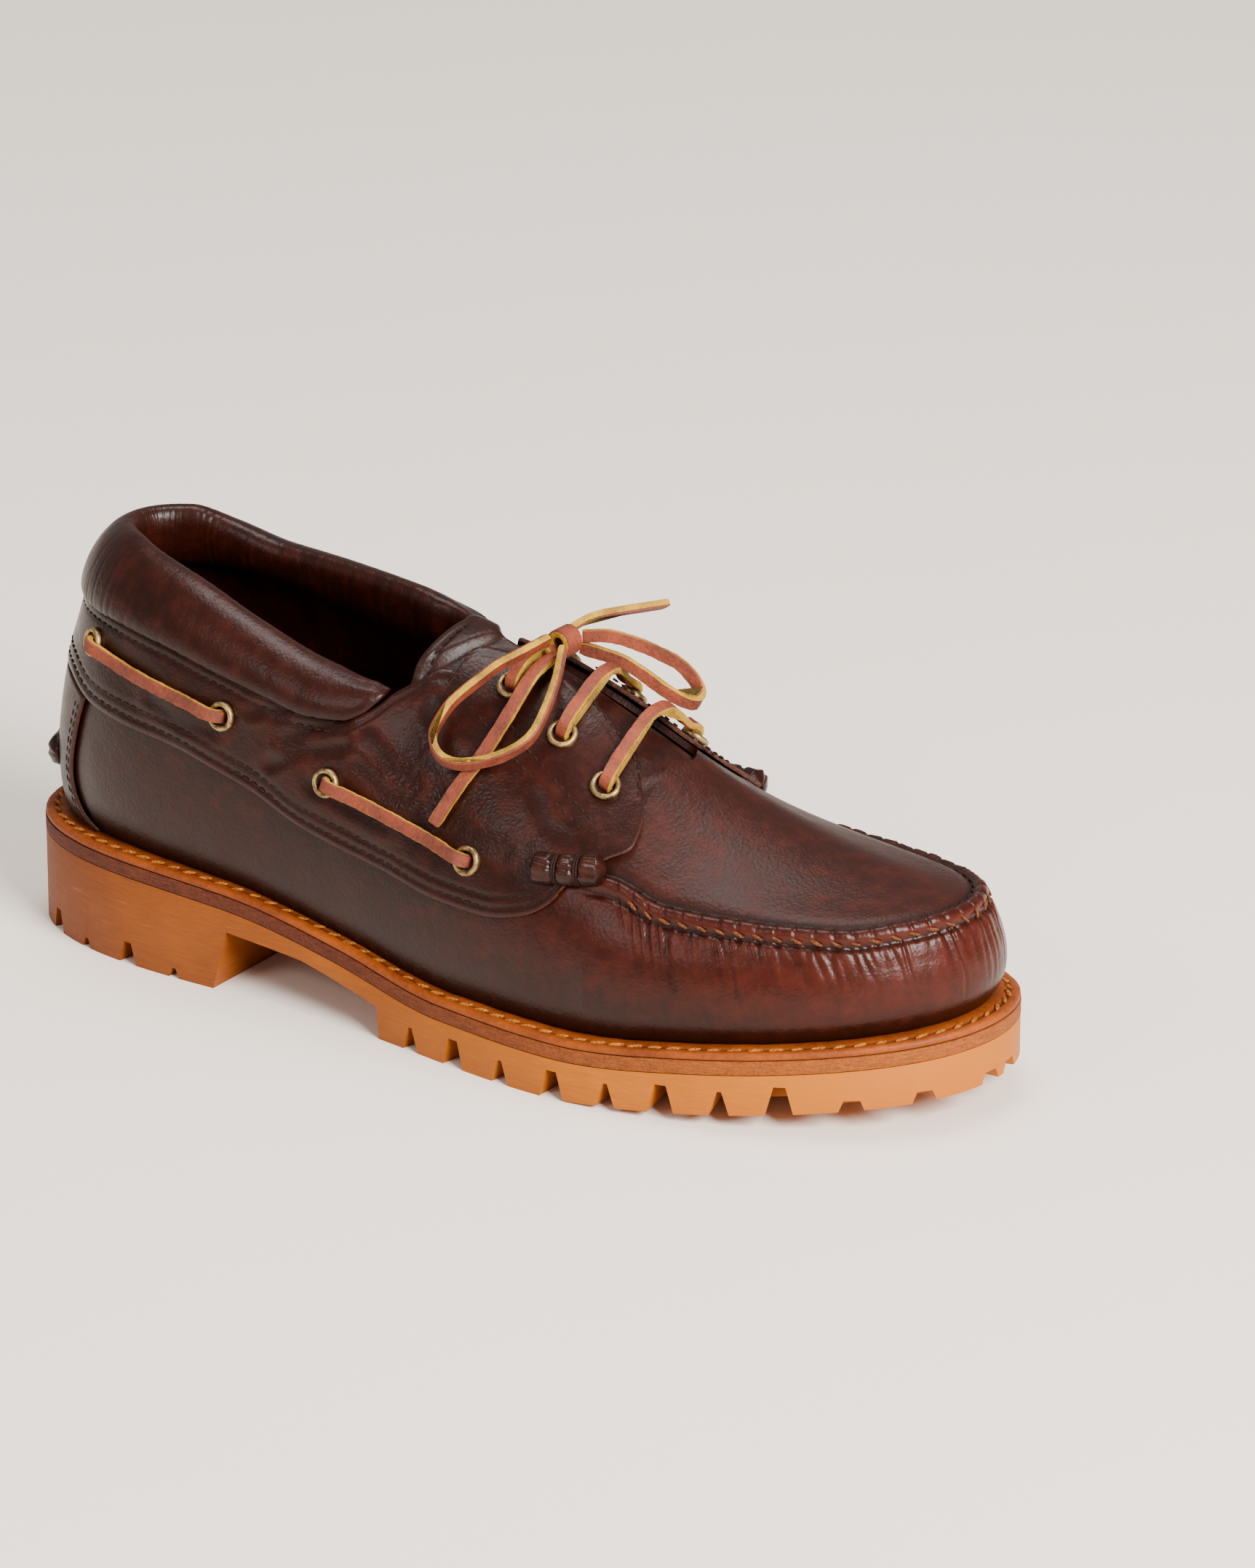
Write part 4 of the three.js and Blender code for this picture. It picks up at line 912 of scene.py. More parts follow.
breast_top = heel_block_length + breast_slant
waist_corners = [
    [heel_block_length, -6], [137.5, -6], [136, 9.3],
    [breast_top + 26, breast_height - 2.4], [breast_top, breast_height],
]
waist = prism("waist", waist_corners, np.array([0.0, -110.0, 0.0]), np.array([1.0, 0, 0]), upright, -220)
subtract(rubber_sole, [waist])
cutters = []
for share, (corners, depth) in notches:
    cutters.append(notch_cutter(share, corners, depth))
    cutters.append(notch_cutter(1 - share, corners, depth))
subtract(rubber_sole, cutters)
print("notches cut:", len(cutters), "sole faces", len(rubber_sole.data.polygons))

# %% [markdown]
# ## Grooves across the tread
# Grooves under the sole let it bend and grip. They are the same prisms laid across it, centred on the
# middle of the outline.

# %% Tread grooves under the forefoot and the heel
tread_groove = [[-1.5, -9], [1.5, -9], [1.1, 3.6], [-1.1, 3.6]]
# Place of each groove along the sole and half its length, first under the forefoot and then under the heel
tread_half = [(150, 30), (166, 33), (182, 34), (198, 34), (214, 32), (230, 28), (246, 22)]
tread_half += [(14, 14), (30, 20), (46, 21), (60, 21)]
grooves = []
for x, half in tread_half:
    middle = (outline(0.25)[0][1] + outline(0.75)[0][1]) / 2 if x > 100 else 0
    centre = np.array([x, middle - half, ground(np.array([x]))[0]])
    grooves.append(prism("groove", tread_groove, centre, np.array([1.0, 0, 0]), upright, -2 * half))
subtract(rubber_sole, grooves)
smooth(rubber_sole, 35)
dress(rubber_sole, "outsole_rubber", "outsole")

# %% [markdown]
# ## Midsole and inner sole
# A thin fibre board lies on the rubber, dark at the heel and tan towards the toe, and the foot stands on
# an inner sole. Both are slabs between two heights of the outline, as the rubber is, and a bevel takes
# the sharpness off their edges.

# %% Midsole board and inner sole
def midsole_top(x):
    return deck(x) - midsole_drop


midsole_board = slab("midsole_board", 0.3, lambda x: midsole_top(x) - midsole_thickness, midsole_top,
                     [midsole_fibre])
round_edges(midsole_board, 0.0005)
smooth(midsole_board, 35)
dress(midsole_board, "midsole_leather", "midsole")

insole_inset = 10.8
insole_thickness = 3.5


def insole_foot(x):
    return midsole_top(x) + gap


insole_board = slab("inner_sole", insole_inset, insole_foot, lambda x: insole_foot(x) + insole_thickness,
                    [lining_leather])
round_edges(insole_board, 0.0008)
smooth(insole_board, 35)
dress(insole_board, "insole_leather", "insole")

# %% [markdown]
# ## The welt
# The welt is the strip that upper and sole are sewn to, a ledge with a groove for its stitches. A curve
# with a bevel could make it, but a section laid by a rule follows the deck's slope and keeps a level at
# each corner, low in the groove and next to the upper, where it paints shade.

# %% Welt
welt_section = np.array([
    [0.6, -0.6], [0.45, -0.1], [0.5, 0.5], [0.8, 0.95], [1.35, 1.2], [2.5, 1.22], [3.1, 1.1], [3.5, 0.75],
    [4.0, 0.75], [4.4, 1.1], [5.1, 1.22], [7.0, 1.2], [9.0, 1.15], [9.0, -0.6], [5, -0.6],
])
# Shade level at each corner of the section. Low values paint shade in the groove and next to the upper.
welt_shade_levels = np.array([0.35, 0.5, 0.6, 0.7, 0.62, 0.55, 0.4, 0.15, 0.15, 0.4, 0.5, 0.35, 0.1, 0.1, 0.1])


def welt_place(u, v):
    around = len(welt_section)
    j = np.round(v * around).astype(int) % around
    plan = inset_outline(u, welt_section[j, 0])
    lumps = 0.12 * np.sin(u * 380) * np.sin(u * 147 + 1)
    height = deck(outline(u)[:, 0]) + welt_section[j, 1] + np.where(welt_section[j, 1] > 0, lumps, 0)
    return np.column_stack([plan, height]), welt_shade_levels[j]


welt = sheet("welt_strip", 420, len(welt_section), welt_place, [welt_leather], weld=0.005)
smooth(welt, 60)
dress(welt, "welt_leather", "welt")

# %% [markdown]
# ## The upper: vamp wall, gathered seam and plug
# A moccasin's wall comes up from the sole and is gathered round a flat plug. The raised lip of that seam,
# pulled in at each stitch, and the pleats under it are what makes the shoe look hand sewn. They are set
# as relief on one sheet, whose rows crowd at the seam, since a bump alone wouldn't show on the outline.

# %% Lines on the last
seam_line = [[0, 0.46], [0.4, 0.46], [0.616, 0.467], [0.69, 0.456], [0.75, 0.39], [0.828, 0.353],
             [0.887, 0.33], [0.94, 0.313], [1.01, 0.315]]
quarter_foot = [[0.0, 0.835], [0.03, 0.828], [0.093, 0.777], [0.209, 0.745], [0.295, 0.685], [0.371, 0.598],
                [0.45, 0.549], [0.533, 0.50], [0.573, 0.494], [0.62, 0.524], [0.64, 0.56], [0.66, 0.63]]
collar_foot = [[0.0, 1.065], [0.1, 1.062], [0.189, 1.04], [0.252, 1.003], [0.315, 0.963], [0.364, 0.932],
               [0.397, 0.936], [0.424, 0.98], [0.444, 1.043], [0.457, 1.09]]
collar_top = [[0.0, 1.285, 1.285], [0.066, 1.29, 1.285], [0.132, 1.27, 1.245], [0.199, 1.234, 1.2],
              [0.281, 1.158, 1.19], [0.364, 1.08, 1.175], [0.434, 1.045, 1.13], [0.457, 1.09, 1.12]]
throat_rows = [[0.226, 3.0], [0.236, 2.2], [0.25, 0.8], [0.27, 0.6], [0.29, 0.8], [0.309, 1.0], [0.3237, 0.9],
               [0.334, 0]]
throat_half_gap = 11
throat_end = 0.334
foot_rise = gap - midsole_drop + 1.8 + 0.45
upper_wall = 1.8


def top_of(s, margin, rows):
    """Upper end of the leather: the collar's foot, the throat's edge, or the closed ridge."""
    near = np.minimum(s, 1 - s)
    throat = down_from_ridge(s, ease(rows, near) * throat_half_gap + margin)
    throat = np.where(near < 0.226, 1.0, throat)
    collar = climb_to(s, ease(collar_foot, share_of_length(s)) * instep_rise - margin / 2)
    top = np.where(near > 0.245, throat, np.minimum(throat, collar))
    return np.where(near >= throat_end, 1.0, top)


def seam_share(s):
    x = outline(s)[:, 0]
    return climb_to(s, deck(x) + ease(seam_line, x / sole_length) * instep_rise)


def stretch_at(s, t):
    """Millimetres of surface for one whole share of the climb."""
    return np.linalg.norm(last_point(s, t + 0.01) - last_point(s, t - 0.01), axis=1) / 0.02


def per_column(rule, s):
    columns, back = np.unique(s, return_inverse=True)
    return rule(columns)[back.reshape(-1)]


seam_walk_shares = np.linspace(0, 1, 1201)
seam_walk_points = last_point(seam_walk_shares, seam_share(seam_walk_shares))
seam_walk = walked_along(seam_walk_points)
print("length round the seam:", seam_walk[-1].round(1), "mm")

# %% [markdown]
# ## Relief of the gathered seam
# The wall is longer than the plug's edge, so each stitch gathers it and pleats run down from the seam.
# They could be sculpted one by one, but places, lengths, depths and slants drawn at random from stated
# ranges are tuned together. Their slant turns with the side of the toe.

# %% Relief of the gathered seam
seam_fade = [[0, 0], [0.319, 0], [0.327, 1], [0.5, 1]]
seam_pitch = 5.2
# Distance across the seam, less than zero on the wall, and rise, both in mm
lip_section = [[-9, 0], [-3.9, 0.02], [-2.7, -0.45], [-1.9, -0.3], [-1.1, 0.75], [0, 1.45],
               [1.1, 1.7], [2.1, 1.3], [2.7, 0.2], [3.3, -0.6], [4.4, -0.25], [6.5, 0]]
chance = np.random.default_rng(11)
seam_start, seam_end = np.interp([0.334, 0.666], seam_walk_shares, seam_walk)
pleat_places = [seam_start]
while pleat_places[-1] < seam_end:
    pleat_places.append(pleat_places[-1] + chance.uniform(1.5, 3.2))
pleat_places = np.array(pleat_places)
pleat_lengths = chance.uniform(7, 24, len(pleat_places))
pleat_depths = chance.uniform(0.12, 0.55, len(pleat_places))
pleat_widths = chance.uniform(0.5, 0.9, len(pleat_places))
toward_toe = np.clip(((seam_start + seam_end) / 2 - pleat_places) / 45, -1, 1)
pleat_slants = 0.42 * toward_toe + chance.uniform(-0.14, 0.14, len(pleat_places))


def hump(distance, middle, width):
    """Smooth rise of height 1 about a middle."""
    return np.exp(-((distance - middle) / width) ** 2)


def pleat_relief(walk, below):
    """Valleys and the swells between them under the seam, by the walk round it and the distance below."""
    relief = np.zeros_like(walk)
    for place, length, depth, width, slant in zip(
            pleat_places, pleat_lengths, pleat_depths, pleat_widths, pleat_slants):
        near = np.abs(walk - place) < 14
        down = below[near]
        across = (walk[near] - place - slant * down - 0.35 * np.sin(down * 0.35 + place)) / width
        fade = np.clip(1 - down / length, 0, 1) ** 1.3 * np.clip(down / 1.5, 0, 1)
        relief[near] += fade * depth * (0.45 * hump(np.abs(across), 1.9, 1) - hump(across, 0, 1))
    return relief


def seam_relief(walk, across, fade):
    """Rise of the lip, pulled in at each stitch."""
    phase = (walk + 0.3 * across) / seam_pitch
    pull = hump((phase + 0.5) % 1, 0.5, 0.1)
    lift = ease(lip_section, across)
    swell = 1 + 0.08 * np.sin(phase * 2.3) + 0.05 * np.sin(phase * 5.1 + 1)
    raised = lift * swell * (1 - 0.3 * pull)
    sunk = lift - 0.18 * pull * hump(across, -2.4, 1.2)
    return fade * np.where(lift > 0, raised, sunk)


print("pleats:", len(pleat_places))

# %% [markdown]
# ## The upper as one sheet
# Wall, seam and plug are one sheet, because their relief runs on without a gap. Its rows are few on the
# plain wall and many across the lip, and Solidify then gives the leather its thickness.

# %% Upper sheet
seam_row_from = 0.34
seam_row_to = 0.74
seam_below = -8.0
seam_above = 7.5
plug_edge = 3.4
plug_sides = (0.13, 0.87)
# Creases on the plug: three points in mm of length and of width, then depth and width
plug_creases = [
    [[182, -24], [190, -8], [193, 8], 0.22, 1.6],
    [[188, -27], [197, -12], [201, 3], 0.16, 1.4],
    [[183, 18], [190, 6], [192, -4], 0.2, 1.5],
    [[203, -20], [208, -9], [209, 4], 0.12, 1.3],
]


def crease_relief(first, second, creases):
    """Folds along given lines in two measures of the surface."""
    relief = np.zeros_like(first)
    for crease in creases:
        *line, depth, width = crease
        nearest = np.full_like(first, 1e9)
        for start, end in zip(line[:-1], line[1:]):
            start, end = np.array(start, dtype=float), np.array(end, dtype=float)
            step = end - start
            share = ((first - start[0]) * step[0] + (second - start[1]) * step[1]) / (step @ step)
            share = np.clip(share, 0, 1)
            gap_first = first - start[0] - share * step[0]
            gap_second = second - start[1] - share * step[1]
            nearest = np.minimum(nearest, np.hypot(gap_first, gap_second))
        across = nearest / width
        relief += depth * (0.55 * hump(across, 2.1, 0.9) - hump(across, 0, 1))
    return relief


def upper_place(u, v):
    s = np.interp(u, [0, 0.12, 0.88, 1], [0, 0.325, 0.675, 1])
    start = per_column(lambda c: climb_to(c, deck(outline(c)[:, 0]) + foot_rise), s)
    seam = per_column(seam_share, s)
    top = per_column(lambda c: top_of(c, 2, throat_rows), s)
    stretch = stretch_at(s, seam)
    fade = ease(seam_fade, np.minimum(s, 1 - s))
    first = seam + seam_below / stretch
    final = seam + seam_above / stretch
    low = start + (first - start) * v / seam_row_from
    middle = first + (final - first) * (v - seam_row_from) / (seam_row_to - seam_row_from)
    high = final + (top - final) * (v - seam_row_to) / (1 - seam_row_to)
    t = np.where(v < seam_row_from, low, np.where(v < seam_row_to, middle, high))
    t = np.where(v >= 0.99999, top, t)
    across = (t - seam) * stretch
    walk = np.interp(s, seam_walk_shares, seam_walk)
    lip = seam_relief(walk, across, fade)
    pleats = pleat_relief(walk, np.maximum(-across - 1.2, 0)) * fade * (across < 0)
    wall_share = np.clip(v / seam_row_from, 0, 1)
    belly = 0.9 * np.sin(math.pi * wall_share) * fade
    points = last_point(s, t)
    folds = crease_relief(points[:, 0], points[:, 1] - 3, plug_creases) * (across > 8) * fade
    rise = lip + pleats + belly + folds
    # Paler on the lip's crest and the pleat crests where the leather is pulled. Lower values paint shade into
    # pleat valleys and plug creases.
    wear_and_shade = 0.5 + 0.05 * np.clip(lip, -1, 2.4) + 0.3 * np.clip(pleats, -0.4, 0.4) + 0.12 * folds
    # Painted shade in the grooves on both sides of the lip.
    wear_and_shade = wear_and_shade - 0.12 * hump(across, -2.7, 0.9) * fade - 0.25 * hump(across, 3.9, 0.9) * fade
    warm = 0.15 * np.clip((np.minimum(s, 1 - s) - 0.24) / 0.2, 0, 1)
    # The wall below the seam goes paler towards the toe, and painted shade darkens the wall's foot where it
    # meets the welt.
    wear_and_shade = wear_and_shade + warm * (across < 0) - 0.3 * (1 - wall_share) ** 3 * (v < seam_row_from)
    return points + last_normal(s, t) * rise[:, None], np.clip(wear_and_shade, 0, 1)


upper_finishes = [upper_leather, lining_leather, raw_edge, plug_leather]
upper = sheet("vamp_and_plug", 640, 74, upper_place, upper_finishes, weld=0.003)
uv = upper.data.uv_layers[0].data
plug_share = (plug_edge - seam_below) / (seam_above - seam_below)
plug_from = seam_row_from + plug_share * (seam_row_to - seam_row_from)
for polygon in upper.data.polygons:
    corner = uv[polygon.loop_indices[0]].uv
    if corner[1] > plug_from and plug_sides[0] < corner[0] < plug_sides[1]:
        polygon.material_index = 3
modify(upper, "SOLIDIFY", thickness=upper_wall * MM, offset=-1, use_even_offset=False)
smooth(upper, 70)
dress(upper, "upper_leather", "upper")

# %% [markdown]
# ## The quarter and the heel patch
# The quarter wraps the heel and both sides, from the collar to the throat's edge, with a raw cut edge.
# Its creases lie where the collar bends forward. The heel patch closes the back under it, with a seam on
# each side.

# %% Quarter sheet
overlay_gap = 0.7
quarter_wall = 1.3
rim_round = 0.0003
quarter_front = [[0, 0.312], [0.25, 0.326], [0.5, 0.333], [0.75, 0.332], [0.88, 0.3285], [1, 0.3225]]
# Throat edge of the quarter, which rounds down into its front edge
quarter_throat = [[0.226, 3.0], [0.236, 2.2], [0.25, 0.8], [0.27, 0.6], [0.29, 0.75], [0.3045, 0.88],
                  [0.3142, 1.17], [0.3225, 1.42], [0.3318, 1.95]]
quarter_end = 0.325
# Distances of the stitch rows from the foot of the quarter and from its top
foot_rows = {"low": 2.6, "high": 5.6}
collar_row = 3.2
# Creases in frame mm of length and height, on the outer side: points, depth, width
outer_creases = [
    [[-48, 78], [-40, 83], [-31, 86], 0.55, 1.9],
    [[-52, 71], [-42, 77], [-30, 80], 0.45, 1.7],
    [[-22, 83], [-13, 77], [-5, 74], 0.5, 1.7],
    [[-24, 76], [-14, 71], [-3, 69], 0.4, 1.5],
    [[-8, 92], [0, 84], [6, 80], 0.4, 1.6],
    [[-60, 84], [-52, 86], [-45, 90], 0.3, 1.6],
    [[8, 68], [18, 64], [27, 63], 0.3, 1.6],
    [[-38, 68], [-24, 65], [-12, 62], 0.3, 1.8],
    [[-95, 80], [-84, 76], [-72, 76], 0.25, 2.0],
    [[30, 76], [36, 70], [44, 67], 0.3, 1.4],
]
inner_creases = [
    [[-46, 80], [-38, 84], [-28, 86], 0.5, 1.9],
    [[-20, 84], [-12, 78], [-2, 75], 0.45, 1.7],
    [[-50, 72], [-38, 75], [-26, 76], 0.35, 1.8],
    [[6, 72], [16, 67], [26, 65], 0.3, 1.6],
]


def quarter_share(column, row):
    front = ease(quarter_front, row)
    reach = np.abs(column)
    stretch = (front - 0.25) / (quarter_end - 0.25)
    near = np.where(reach <= 0.25, reach, 0.25 + (reach - 0.25) * stretch)
    s = np.where(column < 0, 1 - near, near) % 1
    low = climb_to(s, ease(quarter_foot, share_of_length(s)) * instep_rise)
    high = top_of(s, 0, quarter_throat)
    return s, low + (high - low) * row, low, high


def wall_height(s, low, high):
    return np.linalg.norm(last_point(s, high) - last_point(s, low), axis=1)


# Where the quarter is crackled with fine creases: frame x, height, reach along and up, strength
crackle_zones = [
    [-42, 79, 11, 6, 0.7], [-14, 77, 12, 7, 1.0], [2, 70, 12, 8, 1.0],
    [14, 80, 9, 7, 0.5], [-70, 84, 12, 7, 0.35], [28, 66, 14, 6, 0.6],
]


def crackle_at(x, z):
    strength = np.zeros_like(x)
    for place_x, place_z, along, up, amount in crackle_zones:
        strength += amount * np.exp(-((x - place_x) / along) ** 2 - ((z - place_z) / up) ** 2)
    return np.clip(strength, 0, 1)


def quarter_place(u, v):
    column = (u * 2 - 1) * quarter_end
    row = np.interp(v, [0, 0.34, 0.8, 1], [0, 0.14, 0.86, 1])
    s, t, low, high = quarter_share(column, row)
    points = last_point(s, t)
    tall = wall_height(s, low, high)
    from_foot = row * tall
    from_top = (1 - row) * tall
    place = points - frame_shift
    outer = crease_relief(place[:, 0], place[:, 2], outer_creases) * (column > 0)
    inner = crease_relief(place[:, 0], place[:, 2], inner_creases) * (column < 0)
    folds = outer + inner
    sewn = -0.22 * hump(from_foot, foot_rows["low"], 0.8) - 0.22 * hump(from_foot, foot_rows["high"], 0.8)
    sewn -= 0.2 * hump(from_top, collar_row, 0.9)
    edge = -0.3 * hump(from_foot, 0, 0.7) - 0.25 * hump(from_top, 0, 0.7)
    soft = 0.22 * np.sin(place[:, 0] * 0.21 + 1) * np.sin(place[:, 2] * 0.17)
    rise = overlay_gap + quarter_wall + folds + sewn + edge + soft
    # Painted shade darkens the creases and the stitch grooves. The foot edge is paler where it is rubbed.
    wear_and_shade = 0.5 + 0.3 * np.clip(folds, -0.6, 0.08) + 0.4 * sewn + 0.1 * hump(from_foot, 0, 0.6)
    return points + last_normal(s, t) * rise[:, None], np.clip(wear_and_shade, 0, 1)


quarter = sheet("quarter_leather", 460, 60, quarter_place, [upper_leather, lining_leather, raw_edge])
places = corner_places(quarter.data) / MM
crackle = crackle_at(places[:, 0], places[:, 2]) * np.where(places[:, 1] < 0, 1.0, 0.7)
crackled = quarter.data.attributes.new("crackle", "FLOAT", "POINT")
crackled.data.foreach_set("value", crackle)
modify(quarter, "SOLIDIFY", thickness=quarter_wall * MM, offset=-1, material_offset_rim=cut_edge)
round_rim(quarter, rim_round)
smooth(quarter, 50)
dress(quarter, "upper_leather", "quarter")

# %% [markdown]
# ## The heel patch
# A patch covers the back seam under the quarter. It is a short sheet between two lines that follow the
# heel, laid off the wall by a small gap and its own thickness, so that its edges cast a true shadow.

# %% Heel patch
counter_edge = [[0, 0.088], [0.2, 0.076], [0.45, 0.07], [0.75, 0.075], [1, 0.081]]
counter_wall = 1.0


def counter_share(column, row):
    s = (column * ease(counter_edge, row)) % 1
    x = outline(s)[:, 0]
    low = climb_to(s, deck(x) + foot_rise + 1.2)
    high = climb_to(s, ease(quarter_foot, x / sole_length) * instep_rise - gap - 0.5)
    return s, low + (high - low) * row


def counter_place(u, v):
    s, t = counter_share(u * 2 - 1, v)
    side = np.abs(u * 2 - 1)
    edge = -0.35 * hump(side, 1, 0.012)
    soft = 0.3 * np.sin(u * 19) * np.sin(v * 5) * (1 - side)
    rise = overlay_gap + counter_wall + edge + soft
    # Paler along its side edges where rubbed, and darker towards the bottom.
    return off(s, t, rise), np.clip(0.5 + 0.3 * hump(side, 1, 0.01) - 0.2 * (1 - v) ** 3, 0, 1)


heel_patch = sheet("heel_patch", 180, 40, counter_place, [counter_leather, lining_leather, raw_edge])
modify(heel_patch, "SOLIDIFY", thickness=counter_wall * MM, offset=-1, material_offset_rim=cut_edge)
round_rim(heel_patch, rim_round)
smooth(heel_patch, 50)
dress(heel_patch, "upper_leather", "heel_counter")

# %% [markdown]
# ## The padded collar and the tongue
# The collar is foam under soft leather, sewn down on both sides, so it puckers across where the seam
# pulls it. A simulation would round it evenly and lose the puckers, so they are set as short folds across
# the roll.

# %% Collar roll
collar_section = [
    [2.6, -0.04], [4.1, 0.06], [4.7, 0.24], [4.5, 0.46], [3.3, 0.7], [1.1, 0.89], [-1.4, 0.985], [-3.6, 1.0],
    [-5.8, 0.94], [-7.8, 0.79], [-9.0, 0.58], [-9.2, 0.36], [-8.2, 0.16], [-6.4, 0.04], [-4, 0],
    [-1.5, -0.01],
]
collar_lean = 0.34
collar_ends = {"outer": 0.224, "inner": 0.231}
collar_seat = 1.1
pucker_places = np.cumsum(chance.uniform(0.0045, 0.0105, 70)) - 0.24
pucker_depths = chance.uniform(0.03, 0.17, 70)
pucker_slants = chance.uniform(-0.004, 0.004, 70)
pucker_width = 0.0012


def closed_curve(corners, v):
    """Rounded closed curve through a section's corners."""
    corners = np.array(corners, dtype=float)
    place = np.mod(v, 1) * len(corners)
    k = np.floor(place).astype(int)
    u = (place - k)[:, None]
    a, b, c, d = (corners[(k + i) % len(corners)] for i in (-1, 0, 1, 2))
    return between(a, b, c, d, u)


def collar_place(u, v):
    column = -collar_ends["inner"] + u * (collar_ends["inner"] + collar_ends["outer"])
    s = column % 1
    x = share_of_length(s)
    foot = ease(collar_foot, x) * instep_rise + collar_seat
    rise_to = np.where(column < 0, ease(collar_top, x, 2), ease(collar_top, x, 1)) * instep_rise
    top = np.maximum(rise_to, foot + 3)
    base_share = climb_to(s, foot)
    base = last_point(s, base_share)
    outward = last_normal(s, base_share)
    outward[:, 2] = 0
    outward = unit(outward)
    end = np.where(column < 0, collar_ends["inner"], collar_ends["outer"])
    left = end - np.abs(column)
    taper = np.minimum(1, left / 0.03 + 0.25)
    close = np.sqrt(np.clip(left / 0.005, 0, 1))
    corner = closed_curve(collar_section, v)
    out, up = corner[:, 0], corner[:, 1]
    fold = np.zeros_like(u)
    for place, depth, slant in zip(pucker_places, pucker_depths, pucker_slants):
        across = (column - place - slant * np.sin(v * 6.28)) / pucker_width
        fold += depth * (0.4 * hump(np.abs(across), 1.9, 1) - hump(across, 0, 1))
    grip = 0.35 + 0.65 * np.abs(np.cos(v * math.pi * 1.6))
    fold = np.clip(fold, -1.1, 0.5) * grip * np.clip(left / 0.02, 0, 1)
    centre_out, centre_up = -2.6, 0.5
    shrink = (1 + fold / 11) * close
    out = centre_out + (out - centre_out) * shrink
    up = centre_up + (up - centre_up) * ((1 + fold / 16) * close)
    rise = up * (top - foot)
    reach = np.where(out > 0, 1.9 + (out - 1.9) * taper, -2.3 + (out + 2.3) * taper) - collar_lean * rise
    points = base + outward * reach[:, None]
    points[:, 2] += rise
    # Painted shade darkens the pucker valleys and the roll's foot where it meets the quarter. Pucker crests
    # go a little paler.
    wear_and_shade = 0.5 + 0.3 * np.clip(fold, -0.8, 0.4) - 0.3 * hump(np.minimum(v, 1 - v), 0, 0.03)
    return points, np.clip(wear_and_shade, 0, 1)


collar = sheet("collar_roll", 420, 44, collar_place, [collar_leather, lining_leather], weld=0.02)
face_outwards()
smooth(collar, 80)
dress(collar, "upper_leather", "collar")

# %% [markdown]
# ## The tongue
# The tongue lies under the edges of the throat and is free at its top. It could be cut from a flat sheet
# and bent, but a rise over the last that grows towards the top, and fades at the sides, keeps it seated.

# %% Tongue
tongue_rows = [
    [0, 0.2315, 2.6, 9], [0.12, 0.243, 2.6, 6.5], [0.24, 0.255, 1.6, 3], [0.36, 0.268, 0.5, 0.5],
    [0.6, 0.3, 0, 0], [1, 0.352, 0, 0],
]
tongue_half_width = 32
tongue_drop = upper_wall + 3 * gap
tongue_thickness = 2.6
tongue_margin = 6
tongue_corner = 0.03
tongue_length = 120
tongue_rim_round = 0.0005


def tongue_lay(along, w, extra=0.0):
    near = ease(tongue_rows, along, 1) + 0.005 * np.minimum(w, -w) * (1 - along) ** 3
    s = np.where(w < 0, near, 1 - near)
    out = np.abs(w) * tongue_half_width * (1 - 0.42 * along)
    t = np.where(np.abs(w) < 1e-6, 1.0, down_from_ridge(s, out))
    edge = np.where(near < 0.226, throat_rows[0][1], ease(throat_rows, near))
    open_share = np.clip((edge * throat_half_gap - out - tongue_margin + 2) / (tongue_margin + 2), 0, 1)
    open_share = open_share ** 2 * (3 - 2 * open_share)
    central = ease(tongue_rows, along, 2)
    rise = central + (ease(tongue_rows, along, 3) - central) * np.maximum(w, 0)
    return off(s, t, rise * open_share - tongue_drop + extra)


def tongue_along(share, w):
    start = tongue_corner * np.clip((np.abs(w) - 0.55) / 0.45, 0, 1) ** 3
    return start + (1 - start) * share


def tongue_place(u, v):
    w = u * 2 - 1
    row = v ** 1.15
    along = tongue_along(1 - row, w)
    from_top = along * tongue_length
    from_side = (1 - np.abs(w)) * tongue_half_width
    rim = -0.5 * hump(np.minimum(from_top, from_side), 0, 1.2)
    near_edge = np.minimum((1 - row) * tongue_length, from_side)
    groove = -0.35 * hump(near_edge, 5, 0.8)
    swell = 0.35 * np.sin(w * 3 + along * 8) * (from_top > 4)
    # Painted shade darkens the groove of the stitch row near the edge.
    return tongue_lay(along, w, rim + groove + swell), np.clip(0.5 + 0.6 * groove, 0, 1)


tongue = sheet("tongue_leather_sheet", 84, 110, tongue_place, [tongue_leather, lining_leather, raw_edge])
modify(tongue, "SOLIDIFY", thickness=tongue_thickness * MM, offset=-1, material_offset=1,
       material_offset_rim=cut_edge)
round_rim(tongue, tongue_rim_round)
smooth(tongue, 50)
dress(tongue, "tongue_leather", "tongue")

# %% [markdown]
# ## Rolls at the throat's foot and at the heel
# Short rolls of gathered leather, bound with thread, lock the ends of the seam. Each is a half-round
# swelling that is pinched where the thread goes round it, laid along its own short line on the leather.

# %% Rolls
roll_half_width = 4.3
roll_section = [[-1, 0], [-1, 0.3], [-0.8, 0.72], [-0.4, 0.95], [0, 1], [0.4, 0.95],
                [0.8, 0.72], [1, 0.3], [1, 0], [0.5, -0.04], [0, -0.05], [-0.5, -0.04]]


